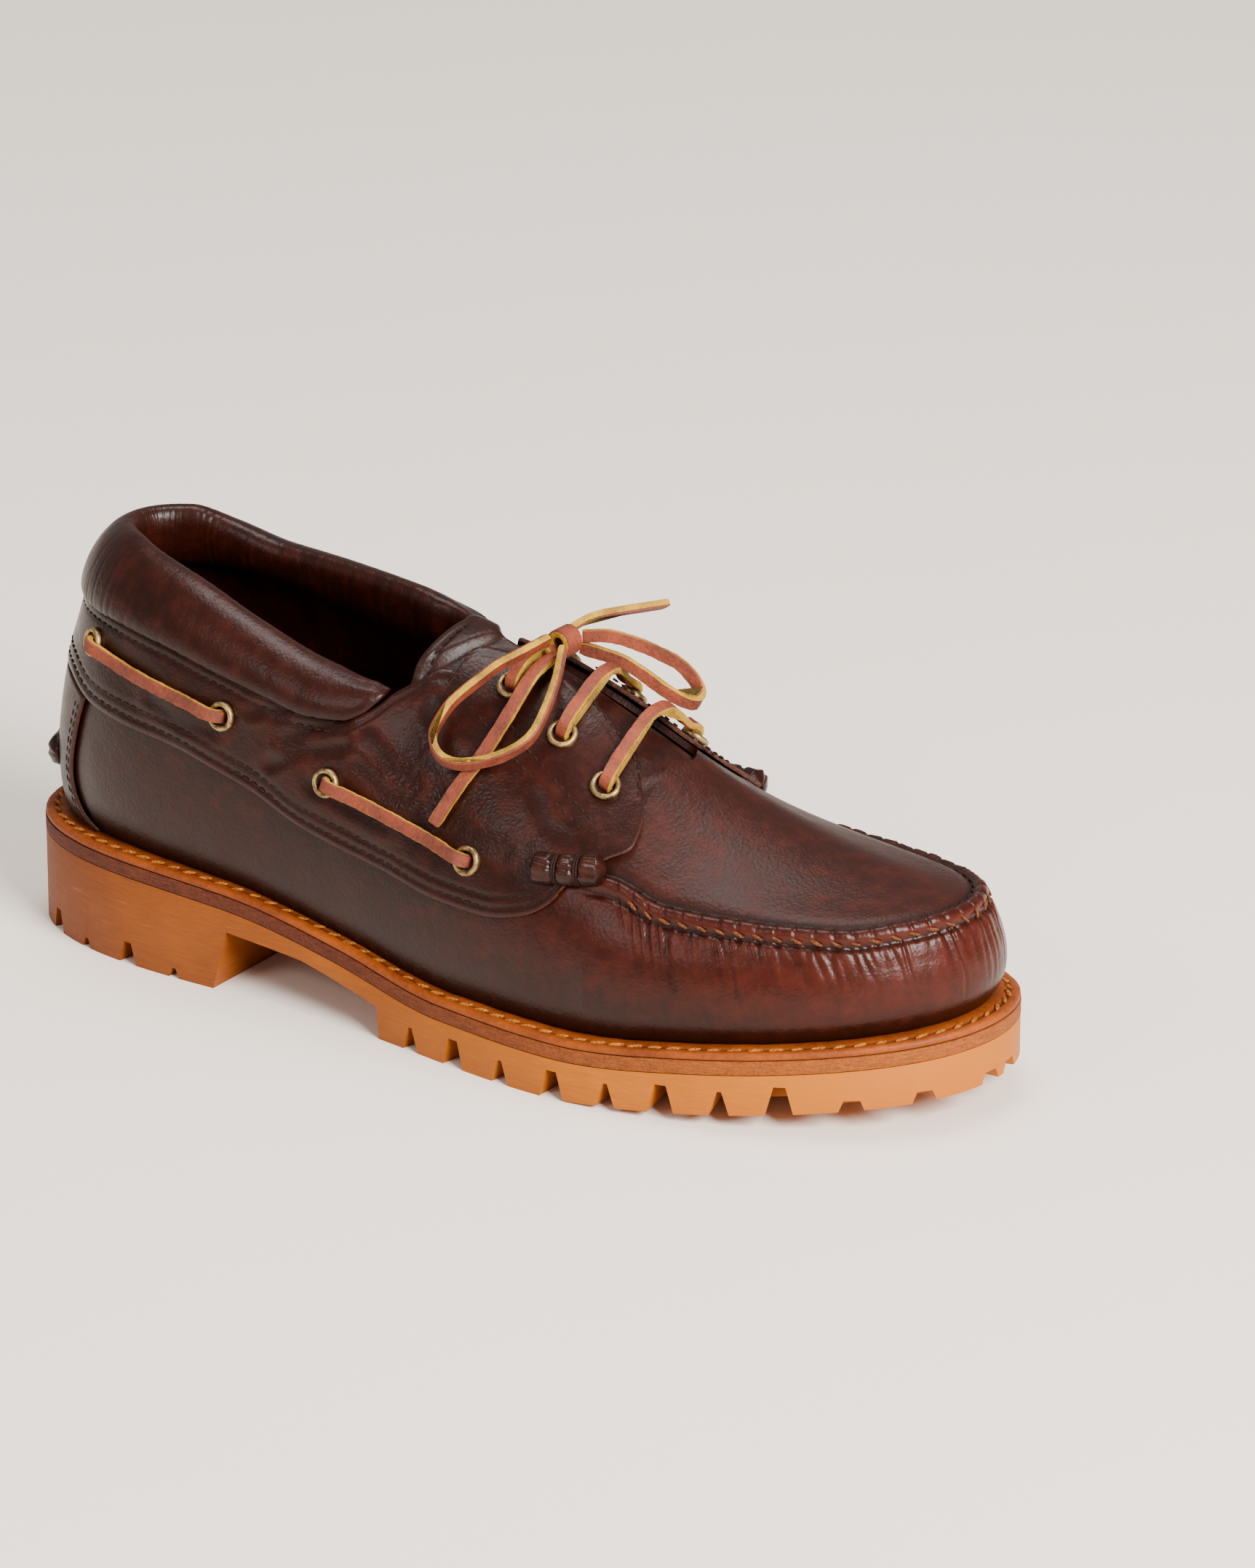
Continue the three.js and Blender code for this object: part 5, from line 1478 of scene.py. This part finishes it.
def roll(name, node, line, seat, height, wraps):
    def place(u, v):
        s, t = line(u)
        centre = off(s, t, seat)
        ahead = off(*line(np.minimum(u + 0.02, 1)), seat) - off(*line(np.maximum(u - 0.02, 0)), seat)
        up = last_normal(s, t)
        across = unit(np.cross(up, unit(ahead)))
        corner = closed_curve(roll_section, v)
        close = np.sqrt(np.clip(np.minimum(u, 1 - u) / 0.1, 0, 1))
        pinch = np.ones_like(u)
        for wrap in wraps:
            pinch -= 0.3 * hump(u, wrap, 0.05)
        wrinkle = 1 + 0.06 * np.sin(v * 44 + u * 9) * (corner[:, 1] > 0.2)
        wide = corner[:, 0] * roll_half_width * close * (0.5 + 0.5 * pinch)
        tall = corner[:, 1] * height * close * pinch * wrinkle
        # Painted shade darkens the roll towards its foot and at the pinches under the thread. Its top goes a
        # little paler.
        wear_and_shade = np.clip(0.42 + 0.35 * (pinch - 0.85) + 0.2 * (corner[:, 1] - 0.6), 0, 1)
        return centre + across * wide[:, None] + up * tall[:, None], wear_and_shade

    piece = sheet(name, 90, 40, place, [roll_leather], weld=0.02)
    face_outwards()
    smooth(piece, 80)
    dress(piece, "upper_leather", node)


def beef_line(side):
    def line(u):
        near = 0.3 + 0.028 * u
        s = near if side < 0 else 1 - near
        return s, climb_to(s, (0.655 + 0.012 * u) * instep_rise)
    return line


beef_wraps = (0.36, 0.64)
beef_seat = overlay_gap + quarter_wall + 0.1
beef_height = 4.8
roll("throat_roll_outer", "beef_roll_lateral", beef_line(-1), beef_seat, beef_height, beef_wraps)
roll("throat_roll_inner", "beef_roll_medial", beef_line(1), beef_seat, beef_height, beef_wraps)


def heel_line(u):
    s = (1 + (u - 0.5) * 0.085) % 1
    return s, climb_to(s, 48.0)


heel_wraps = (0.25, 0.5, 0.75)
heel_seat = overlay_gap + counter_wall + 0.1
heel_roll_height = 3.3
roll("heel_roll_leather", "heel_roll", heel_line, heel_seat, heel_roll_height, heel_wraps)

# %% [markdown]
# ## Eyelets and the laces through them
# Each eyelet is a small brass ring with a rolled rim. It is turned from a circle by extruding and
# scaling, then copied to its fourteen places. The side laces run outside the quarter between pairs of
# eyelets, and three bars cross the throat.

# %% Eyelet ring
eyelet_face = overlay_gap + quarter_wall + 0.3
eyelet_profile = [
    [2.75, -1.5], [2.7, 0.6], [2.8, 1.05], [3.05, 1.35], [3.45, 1.45], [3.85, 1.3],
    [4.15, 0.9], [4.2, 0.3], [4.1, -0.1], [3.2, -0.2], [3.1, -1.5],
]
eyelet_sides = 32
bpy.ops.object.select_all(action="DESELECT")
bpy.ops.mesh.primitive_circle_add(vertices=eyelet_sides, radius=eyelet_profile[0][0] * MM,
                                  location=(0, 0, eyelet_profile[0][1] * MM))
eyelet_model = bpy.context.object
bpy.ops.object.transform_apply(location=True)
bpy.ops.object.mode_set(mode="EDIT")
bpy.ops.mesh.select_all(action="SELECT")
for before, after in zip(eyelet_profile, eyelet_profile[1:]):
    bpy.ops.mesh.extrude_region_move(TRANSFORM_OT_translate={"value": (0, 0, (after[1] - before[1]) * MM)})
    grow = after[0] / before[0]
    bpy.ops.transform.resize(value=(grow, grow, 1), center_override=(0, 0, 0))
bpy.ops.mesh.select_all(action="DESELECT")
bpy.ops.mesh.select_non_manifold()
bpy.ops.mesh.bridge_edge_loops()
bpy.ops.object.mode_set(mode="OBJECT")
face_outwards()
eyelet_model.data.materials.append(old_brass.material)
smooth(eyelet_model, 60)
print("eyelet faces", len(eyelet_model.data.polygons))

# %% [markdown]
# ## Where the eyelets sit
# Each place is given as shares of the sole's length and the instep's height, and is searched for on the
# last, so that an eyelet stays seated when the last changes. The inner side mirrors the outer one, and
# each copy of the ring is turned to the surface.

# %% Places of the eyelets
eyelet_places = [
    ["side_1", 0.103, 0.965], ["side_2", 0.271, 0.879], ["side_3", 0.392, 0.757], ["side_4", 0.554, 0.636],
    ["throat_1", 0.538, 1.064], ["throat_2", 0.599, 0.967], ["throat_3", 0.652, 0.854],
]


def halve(low, high, steps, is_under):
    """Place where a test stops holding, found by halving the span."""
    for _ in range(steps):
        middle = (low + high) / 2
        if is_under(middle):
            low = middle
        else:
            high = middle
    return (low + high) / 2


def share_at(x, height):
    return halve(0.005, 0.45, 30, lambda s: last_point(s, climb_to(s, height))[0, 0] < x)


eyelets = {}
for place_name, x, up in eyelet_places:
    near = share_at(x * sole_length, up * instep_rise)
    t = float(climb_to(near, up * instep_rise)[0])
    eyelets["lateral_" + place_name] = (near, t)
    eyelets["medial_" + place_name] = (1 - near, t)


def mesh_of(name, points, faces, finishes):
    """Mesh object from arrays, for small things that repeat many times."""
    mesh = bpy.data.meshes.new(name)
    mesh.from_pydata(points.tolist(), [], faces)
    piece = bpy.data.objects.new(name, mesh)
    bpy.context.collection.objects.link(piece)
    for finish in finishes:
        mesh.materials.append(finish.material)
    return piece


for name, (s, t) in eyelets.items():
    bpy.ops.object.select_all(action="DESELECT")
    ring = eyelet_model.copy()
    ring.data = eyelet_model.data.copy()
    ring.name = "ring_" + name
    bpy.context.collection.objects.link(ring)
    seat = off(s, t, eyelet_face)[0]
    turn = Vector(last_normal(s, t)[0].tolist()).to_track_quat("Z", "Y")
    ring.data.transform(turn.to_matrix().to_4x4())
    ring.data.transform(Matrix.Translation(in_frame(seat[None])[0].tolist()))
    dress(ring, "eyelet_brass", "eyelet_" + name)
bpy.data.objects.remove(eyelet_model)

# %% [markdown]
# ## Painted shade in the holes
# Through an open eyelet one sees the shaded inside. Holes could be cut in the leather, but a small cup
# painted dark as that shade in each ring gives the same look and leaves the sheets whole.

# %% Painted shade in the holes
disc_sides = 20
cup_radius = 2.82
cup_depth = 0.9
cup_taper = 0.25
cup_rise = 0.25
for name, (s, t) in eyelets.items():
    normal = last_normal(s, t)[0]
    side = unit(np.cross(normal, [0.3, 0.1, 0.9]))
    other = np.cross(normal, side)
    angles = np.linspace(0, 2 * math.pi, disc_sides, endpoint=False)
    spokes = np.cos(angles)[:, None] * side + np.sin(angles)[:, None] * other
    rim = off(s, t, eyelet_face + cup_rise)[0] + cup_radius * spokes
    floor_ring = rim - cup_depth * normal - cup_taper * (rim - rim.mean(axis=0))
    points = in_frame(np.vstack([rim, floor_ring]))
    faces = []
    for i in range(disc_sides):
        after = (i + 1) % disc_sides
        faces.append([disc_sides + i, disc_sides + after, after, i])
    faces.append(list(range(disc_sides, 2 * disc_sides)))
    cup = mesh_of("hole_" + name, points, faces, [hole_shade])
    dress(cup, "eyelet_brass")

# %% [markdown]
# ## Laces through the eyelets
# The side laces come out of one eyelet and go in at the next, and three bars cross the throat. A lace
# climbs out of every hole alike, so one short table of distances and heights serves both ends of all
# seven.

# %% Laces through the eyelets
lace_climb = [[0, 0.9], [0, 2.4], [0.4, 3.9], [1.8, 4.95], [4.6, 5.1], [8, 4.2], [13, 3.7]]
lace_rest = 3.6


def lay_lace(name, node, places):
    centres = np.vstack([off(s, t, rise) for s, t, rise in places])
    normals = np.vstack([last_normal(s, t) for s, t, rise in places])
    span = centres[-1] - centres[0]
    route = smooth_route(centres - frame_shift)
    share = np.linspace(0, 1, len(route))
    walked = walked_along(centres)
    wide = unit(np.cross(span, normals))
    hint = np.stack([np.interp(share, walked / walked[-1], wide[:, axis]) for axis in range(3)], -1)
    piece = strip(name, route, hint)
    dress(piece, "lace_leather", node)


def side_lace(side, first_name, second_name, node):
    first = eyelets[side + "_" + first_name]
    second = eyelets[side + "_" + second_name]
    start, end = last_point(*first)[0], last_point(*second)[0]
    length = np.linalg.norm(end - start)

    def place(share, rise):
        s = first[0] + (second[0] - first[0]) * share
        return s, float(climb_to(s, start[2] + (end[2] - start[2]) * share)[0]), rise

    out = [place(walk / length, rise) for walk, rise in lace_climb]
    back = [place(1 - walk / length, rise) for walk, rise in lace_climb][::-1]
    reach = lace_climb[-1][0] / length
    middle = [place(reach + (1 - 2 * reach) * share, lace_rest) for share in (0.2, 0.4, 0.6, 0.8)]
    lay_lace("strap_" + node, node, out + middle + back)


def throat_reach(s, t):
    return halve(0.0, 110.0, 24, lambda reach: down_from_ridge(s, reach)[0] > t)


def throat_bar(eyelet_name, node, middle_rise):
    sides = [eyelets["lateral_" + eyelet_name], eyelets["medial_" + eyelet_name]]
    reach = [throat_reach(*side) for side in sides]

    def place(share, rise):
        across = 2 * share - 1
        number = 0 if across < 0 else 1
        s = sides[number][0]
        t = 1.0 if across == 0 else float(down_from_ridge(s, reach[number] * abs(across))[0])
        return s, t, rise

    length = sum(reach)
    out = [place(walk / length, rise) for walk, rise in lace_climb[:-1]]
    back = [place(1 - walk / length, rise) for walk, rise in lace_climb[:-1]][::-1]
    middle = [place(share, middle_rise) for share in (0.38, 0.5, 0.62)]
    lay_lace("strap_" + node, node, out + middle + back)


for side in ("lateral", "medial"):
    side_lace(side, "side_1", "side_2", "lace_" + side + "_rear")
    side_lace(side, "side_3", "side_4", "lace_" + side + "_front")
throat_bar("throat_1", "lace_bar_top", 2.6)
throat_bar("throat_2", "lace_bar_upper", 4.8)
throat_bar("throat_3", "lace_bar_lower", 4.8)

# %% [markdown]
# ## Stitches
# One stitch is a small stretched ball. It is modelled once, and each row is a mesh of copies laid along a
# line on the surface, turned with it and sunk into its groove. Painted stitches would look flat in a
# close view.

# %% One stitch and a row of them
bpy.ops.object.select_all(action="DESELECT")
bpy.ops.mesh.primitive_uv_sphere_add(segments=8, ring_count=6, radius=1)
stitch_model = bpy.context.object
stitch_points = corner_places(stitch_model.data)[:, [2, 0, 1]]
stitch_faces = [list(polygon.vertices) for polygon in stitch_model.data.polygons]
bpy.data.objects.remove(stitch_model)


def even_line(s, t, pitch):
    """Shares at even steps of a line on the last."""
    points = last_point(s, t)
    walked = walked_along(points)
    at = np.arange(pitch / 2, walked[-1], pitch)
    unrolled = np.interp(at, walked, np.unwrap(s * 2 * math.pi) / (2 * math.pi))
    return unrolled % 1, np.interp(at, walked, t)


def stitch_row(name, slot, finish, points, run, normal, size, slant=0.0, wobble=0.06):
    """Copies of the stitch at points, each of a size in mm along its run, across it and up."""
    dice = np.random.default_rng(len(points) * 7 + 1)
    run = unit(run - normal * np.sum(run * normal, axis=1, keepdims=True))
    side = np.cross(normal, run)
    turn = slant + dice.normal(0, wobble, len(points))[:, None]
    ahead = run * np.cos(turn) + side * np.sin(turn)
    beside = np.cross(normal, ahead)
    growth = 1 + dice.normal(0, 0.06, (len(points), 1, 1))
    model = stitch_points * (np.array(size) / 2)
    local = model[None] * growth
    corners = (points[:, None] + local[..., :1] * ahead[:, None] + local[..., 1:2] * beside[:, None]
               + local[..., 2:] * normal[:, None])
    faces = []
    for i in range(len(points)):
        base = i * len(stitch_points)
        faces += [[base + corner for corner in face] for face in stitch_faces]
    piece = mesh_of(name, in_frame(corners.reshape(-1, 3)), faces, [finish])
    smooth(piece, 180)
    dress(piece, slot)


def stitch_on_last(name, slot, finish, s, t, rise, pitch, size):
    s, t = even_line(s, t, pitch)
    points = off(s, t, rise)
    run = np.gradient(last_point(s, t), axis=0)
    stitch_row(name, slot, finish, points, run, last_normal(s, t), size)


print("faces of a stitch:", len(stitch_faces))

# %% [markdown]
# ## Stitches of the plug's seam
# Thick hand stitches slant over the lip, and a finer row runs inside it. Their places are counted along
# the seam with the pitch of the dents in the relief, so that each stitch sits in its own dent.

# %% Seam round the plug
# Length, width and height of a stitch in mm
seam_stitch = (3.5, 0.95, 0.9)
inner_stitch = (2.6, 0.9, 0.9)
sewn_from, sewn_to = np.interp([0.3335, 0.6665], seam_walk_shares, seam_walk)
sewn_walk = np.arange(math.ceil(sewn_from / seam_pitch) * seam_pitch, sewn_to, seam_pitch)


def across_seam(walk, across):
    s = np.interp(walk - 0.3 * across, seam_walk, seam_walk_shares)
    seam = seam_share(s)
    return s, seam + across / stretch_at(s, seam)


seam_s, seam_t = across_seam(sewn_walk, -1.9)
seam_sides = np.clip(((seam_start + seam_end) / 2 - sewn_walk) / 12, -1, 1)
seam_top = off(*across_seam(sewn_walk - 1.7 * seam_sides, -0.9), 0.95)
seam_foot = off(*across_seam(sewn_walk + 1.7 * seam_sides, -2.2), 0.15)
seam_normal = last_normal(seam_s, seam_t)
seam_places = (seam_top + seam_foot) / 2 + 0.2 * seam_normal
stitch_row("seam_stitches", "upper_leather", gold_thread, seam_places, seam_foot - seam_top, seam_normal,
           seam_stitch)
inner_s, inner_t = across_seam(sewn_walk + 1.2, 3.1)
inner_run = np.gradient(last_point(inner_s, inner_t), axis=0)
stitch_row("seam_stitches_inside", "upper_leather", brown_thread, off(inner_s, inner_t, -0.1), inner_run,
           last_normal(inner_s, inner_t), inner_stitch, slant=0.25)

# %% [markdown]
# ## Machine rows on the quarter
# Two rows follow the quarter's foot and one follows the collar. A machine's guide keeps the distance from
# the edge, so each row is worked out in millimetres from the height of the wall, and not drawn freely.

# %% Rows on the quarter
quarter_top = overlay_gap + quarter_wall
sides = {"outer": 1, "inner": -1}
fine_stitch = (2.3, 0.7, 0.55)
short_stitch = (2.2, 0.7, 0.55)


def quarter_line(first, last, count, sign, guess, row_of):
    """Line on the quarter. The wall's height at a guessed row gives the row itself."""
    columns = np.linspace(first, last, count)[::sign] * sign
    s, _, low, high = quarter_share(columns, np.full(count, guess))
    return quarter_share(columns, row_of(wall_height(s, low, high)))[:2]


for side_name, sign in sides.items():
    for row_name, distance in foot_rows.items():
        s, t = quarter_line(0.002, quarter_end - 0.003, 260, sign, 0.02, lambda tall: distance / tall)
        stitch_on_last("quarter_foot_" + row_name + "_" + side_name, "upper_leather", brown_thread, s, t,
                       quarter_top - 0.22, 3.1, fine_stitch)
    s, t = quarter_line(0.004, 0.222, 200, sign, 0.9, lambda tall: 1 - collar_row / tall)
    stitch_on_last("quarter_collar_row_" + side_name, "upper_leather", brown_thread, s, t, quarter_top - 0.2,
                   3.0, short_stitch)

# %% [markdown]
# ## Rows on the eyestay
# Three curved rows hold the eyestay. They follow no edge, so a few points of each are set and
# mirrored to the inner side.

# %% Rows on the eyestay
# Points of each row, as shares round the outline and up the last
eyestay_rows = {
    "rear": [(0.2595, 0.748), (0.2771, 0.697), (0.2986, 0.655), (0.3225, 0.616)],
    "middle": [(0.2665, 0.775), (0.2830, 0.723), (0.3045, 0.681), (0.3245, 0.65)],
    "front": [(0.285, 0.925), (0.302, 0.885), (0.3165, 0.858), (0.3235, 0.83), (0.327, 0.78), (0.3275, 0.71),
              (0.3255, 0.66)],
}
eyestay_stitch = (1.9, 0.95, 0.7)
for side_name, sign in sides.items():
    for row_name, line in eyestay_rows.items():
        shares = np.linspace(0, 1, 80)
        knots = np.linspace(0, 1, len(line))
        near, t = (np.interp(shares, knots, values) for values in zip(*line))
        s = near if sign > 0 else 1 - near
        stitch_on_last("eyestay_" + row_name + "_" + side_name, "upper_leather", brown_thread, s, t,
                       quarter_top - 0.05, 2.9, eyestay_stitch)

# %% [markdown]
# ## Rows on the heel patch
# Two close rows run down each side of the patch. They are lines of its own sheet, so they bend with it.

# %% Rows on the heel patch
for side_name, sign in sides.items():
    rows = np.linspace(0.05, 0.97, 60)
    for row_name, inward in (("edge", 0.965), ("second", 0.925)):
        s, t = counter_share(np.full(60, inward * sign), rows)
        stitch_on_last("heel_patch_" + row_name + "_" + side_name, "upper_leather", brown_thread, s, t,
                       overlay_gap + counter_wall - 0.05, 3.0, short_stitch)

# %% [markdown]
# ## The row round the tongue
# One row follows the tongue's edge and rounds its corners. Its path is laid by the tongue's own rule, and
# the stitches are then set at even steps along it.

# %% Row round the tongue
tongue_stitch = (2.3, 0.7, 0.6)
tongue_pitch = 3.2
tongue_path = [(share, -0.8) for share in np.linspace(0.5, 0.09, 40)]
tongue_path += [(0.042 + 0.048 * abs(w / 0.8) ** 8, w) for w in np.linspace(-0.78, 0.78, 60)]
tongue_path += [(share, 0.8) for share in np.linspace(0.09, 0.5, 40)]
tongue_path = np.array(tongue_path)
path_along = tongue_along(tongue_path[:, 0], tongue_path[:, 1])
laid = tongue_lay(path_along, tongue_path[:, 1], -0.1)
walked = walked_along(laid)
at = np.arange(1.5, walked[-1], tongue_pitch)
laid = np.stack([np.interp(at, walked, laid[:, axis]) for axis in range(3)], -1)
along = np.interp(at, walked, path_along)
w = np.interp(at, walked, tongue_path[:, 1])
toward = tongue_lay(np.minimum(along + 0.01, 1), w) - tongue_lay(along, w)
aside = tongue_lay(along, w + 0.02) - tongue_lay(along, w)
stitch_row("tongue_stitches", "tongue_leather", brown_thread, laid, np.gradient(laid, axis=0),
           unit(np.cross(toward, aside)), tongue_stitch)

# %% [markdown]
# ## The row along the welt
# Long pale stitches lie in the groove of the welt, each turned a little across it, as a lockstitch pulls
# them.

# %% Row along the welt
welt_stitch_inset = 3.75
welt_pitch = 5.6
welt_stitch = (4.4, 1.35, 1.1)
welt_shares = np.linspace(0, 1, 1600, endpoint=False)
welt_line = inset_outline(welt_shares, welt_stitch_inset)
welt_walk = walked_along(welt_line)
sewn = np.interp(np.arange(0, welt_walk[-1], welt_pitch), welt_walk, welt_shares)
plan = inset_outline(sewn, welt_stitch_inset)
welt_points = np.column_stack([plan, deck(outline(sewn)[:, 0]) + 1.05])
stitch_row("welt_stitches", "welt_leather", welt_thread, welt_points, np.gradient(welt_points, axis=0),
           np.tile(upright, (len(sewn), 1)), welt_stitch, slant=0.42)

# %% [markdown]
# ## Thread round the rolls
# Thread binds each roll twice at every pinch. A bevelled curve would look like wire, so short stitches
# are set end to end over each half circle.

# %% Thread round the rolls
thread_stitch = (1.9, 0.75, 0.75)
wrap_steps = 14


def wrap_thread(name, line, seat, height, wraps, finish):
    pieces = []
    for wrap in wraps:
        for nudge in (-0.016, 0.016):
            s, t = line(wrap + nudge)
            centre = off(s, t, seat)[0]
            ahead = unit(off(*line(wrap + 0.04), seat)[0] - off(*line(wrap - 0.04), seat)[0])
            up = last_normal(s, t)[0]
            across = np.cross(up, ahead)
            bend = np.linspace(0, math.pi, wrap_steps + 1)
            wide, tall = roll_half_width * 0.92, height * 0.83
            path = centre + np.cos(bend)[:, None] * across * wide + np.sin(bend)[:, None] * up * tall
            pieces.append((path, ahead))
    points = np.vstack([path[1:] * 0.5 + path[:-1] * 0.5 for path, ahead in pieces])
    run = np.vstack([np.diff(path, axis=0) for path, ahead in pieces])
    beside = np.vstack([np.tile(ahead, (wrap_steps, 1)) for path, ahead in pieces])
    normal = unit(np.cross(run, beside))
    stitch_row(name, "upper_leather", finish, points, run, normal, thread_stitch, wobble=0.0)


wrap_thread("throat_roll_thread_outer", beef_line(-1), beef_seat, beef_height, beef_wraps, brown_thread)
wrap_thread("throat_roll_thread_inner", beef_line(1), beef_seat, beef_height, beef_wraps, brown_thread)
wrap_thread("heel_roll_thread", heel_line, heel_seat, heel_roll_height, heel_wraps, orange_thread)

# %% [markdown]
# ## Floor and light
# The shoe stands on a plain pale floor under soft light from the upper right. Large area lights give the
# long soft highlights that waxy leather shows, and a pale surround fills the shadows.

# %% Floor, lights and surround
bpy.ops.object.select_all(action="DESELECT")
bpy.ops.mesh.primitive_plane_add(size=12)
studio_floor = bpy.context.object
studio_floor.name = "studio_floor"
floor_finish = Finish("floor", 0.85)
floor_noise = floor_finish.noise(floor_finish.place(), 3, 2)
floor_finish.shade("Base Color", floor_finish.blend(floor_noise, paint(246, 235, 224), paint(250, 240, 229)))
studio_floor.data.materials.append(floor_finish.material)


def soft_light(name, place, aim, size, power, colour):
    data = bpy.data.lights.new(name, "AREA")
    data.shape = "RECTANGLE"
    data.size, data.size_y = size
    data.energy = power
    data.color = colour
    light = bpy.data.objects.new(name, data)
    light.location = place
    light.rotation_euler = (Vector(place) - Vector(aim)).to_track_quat("Z", "Y").to_euler()
    bpy.context.collection.objects.link(light)


shoe_middle = (0, 0, 0.05)
surround_colour = (1.0, 0.97, 0.94, 1.0)
surround_strength = 0.42
soft_light("key", (1.9, -0.75, 1.35), shoe_middle, (1.1, 0.9), 158, (1.0, 0.975, 0.94))
soft_light("front", (-0.5, -2.2, 1.5), shoe_middle, (0.9, 0.5), 14, (1.0, 0.98, 0.96))
soft_light("top", (-0.3, 0.3, 2.3), shoe_middle, (1.2, 0.8), 38, (1.0, 0.98, 0.96))
world = bpy.data.worlds.new("surround")
world.use_nodes = True
surround = world.node_tree.nodes["Background"]
surround.inputs["Color"].default_value = surround_colour
surround.inputs["Strength"].default_value = surround_strength
bpy.context.scene.world = world
print("lights placed:", len(bpy.data.lights))
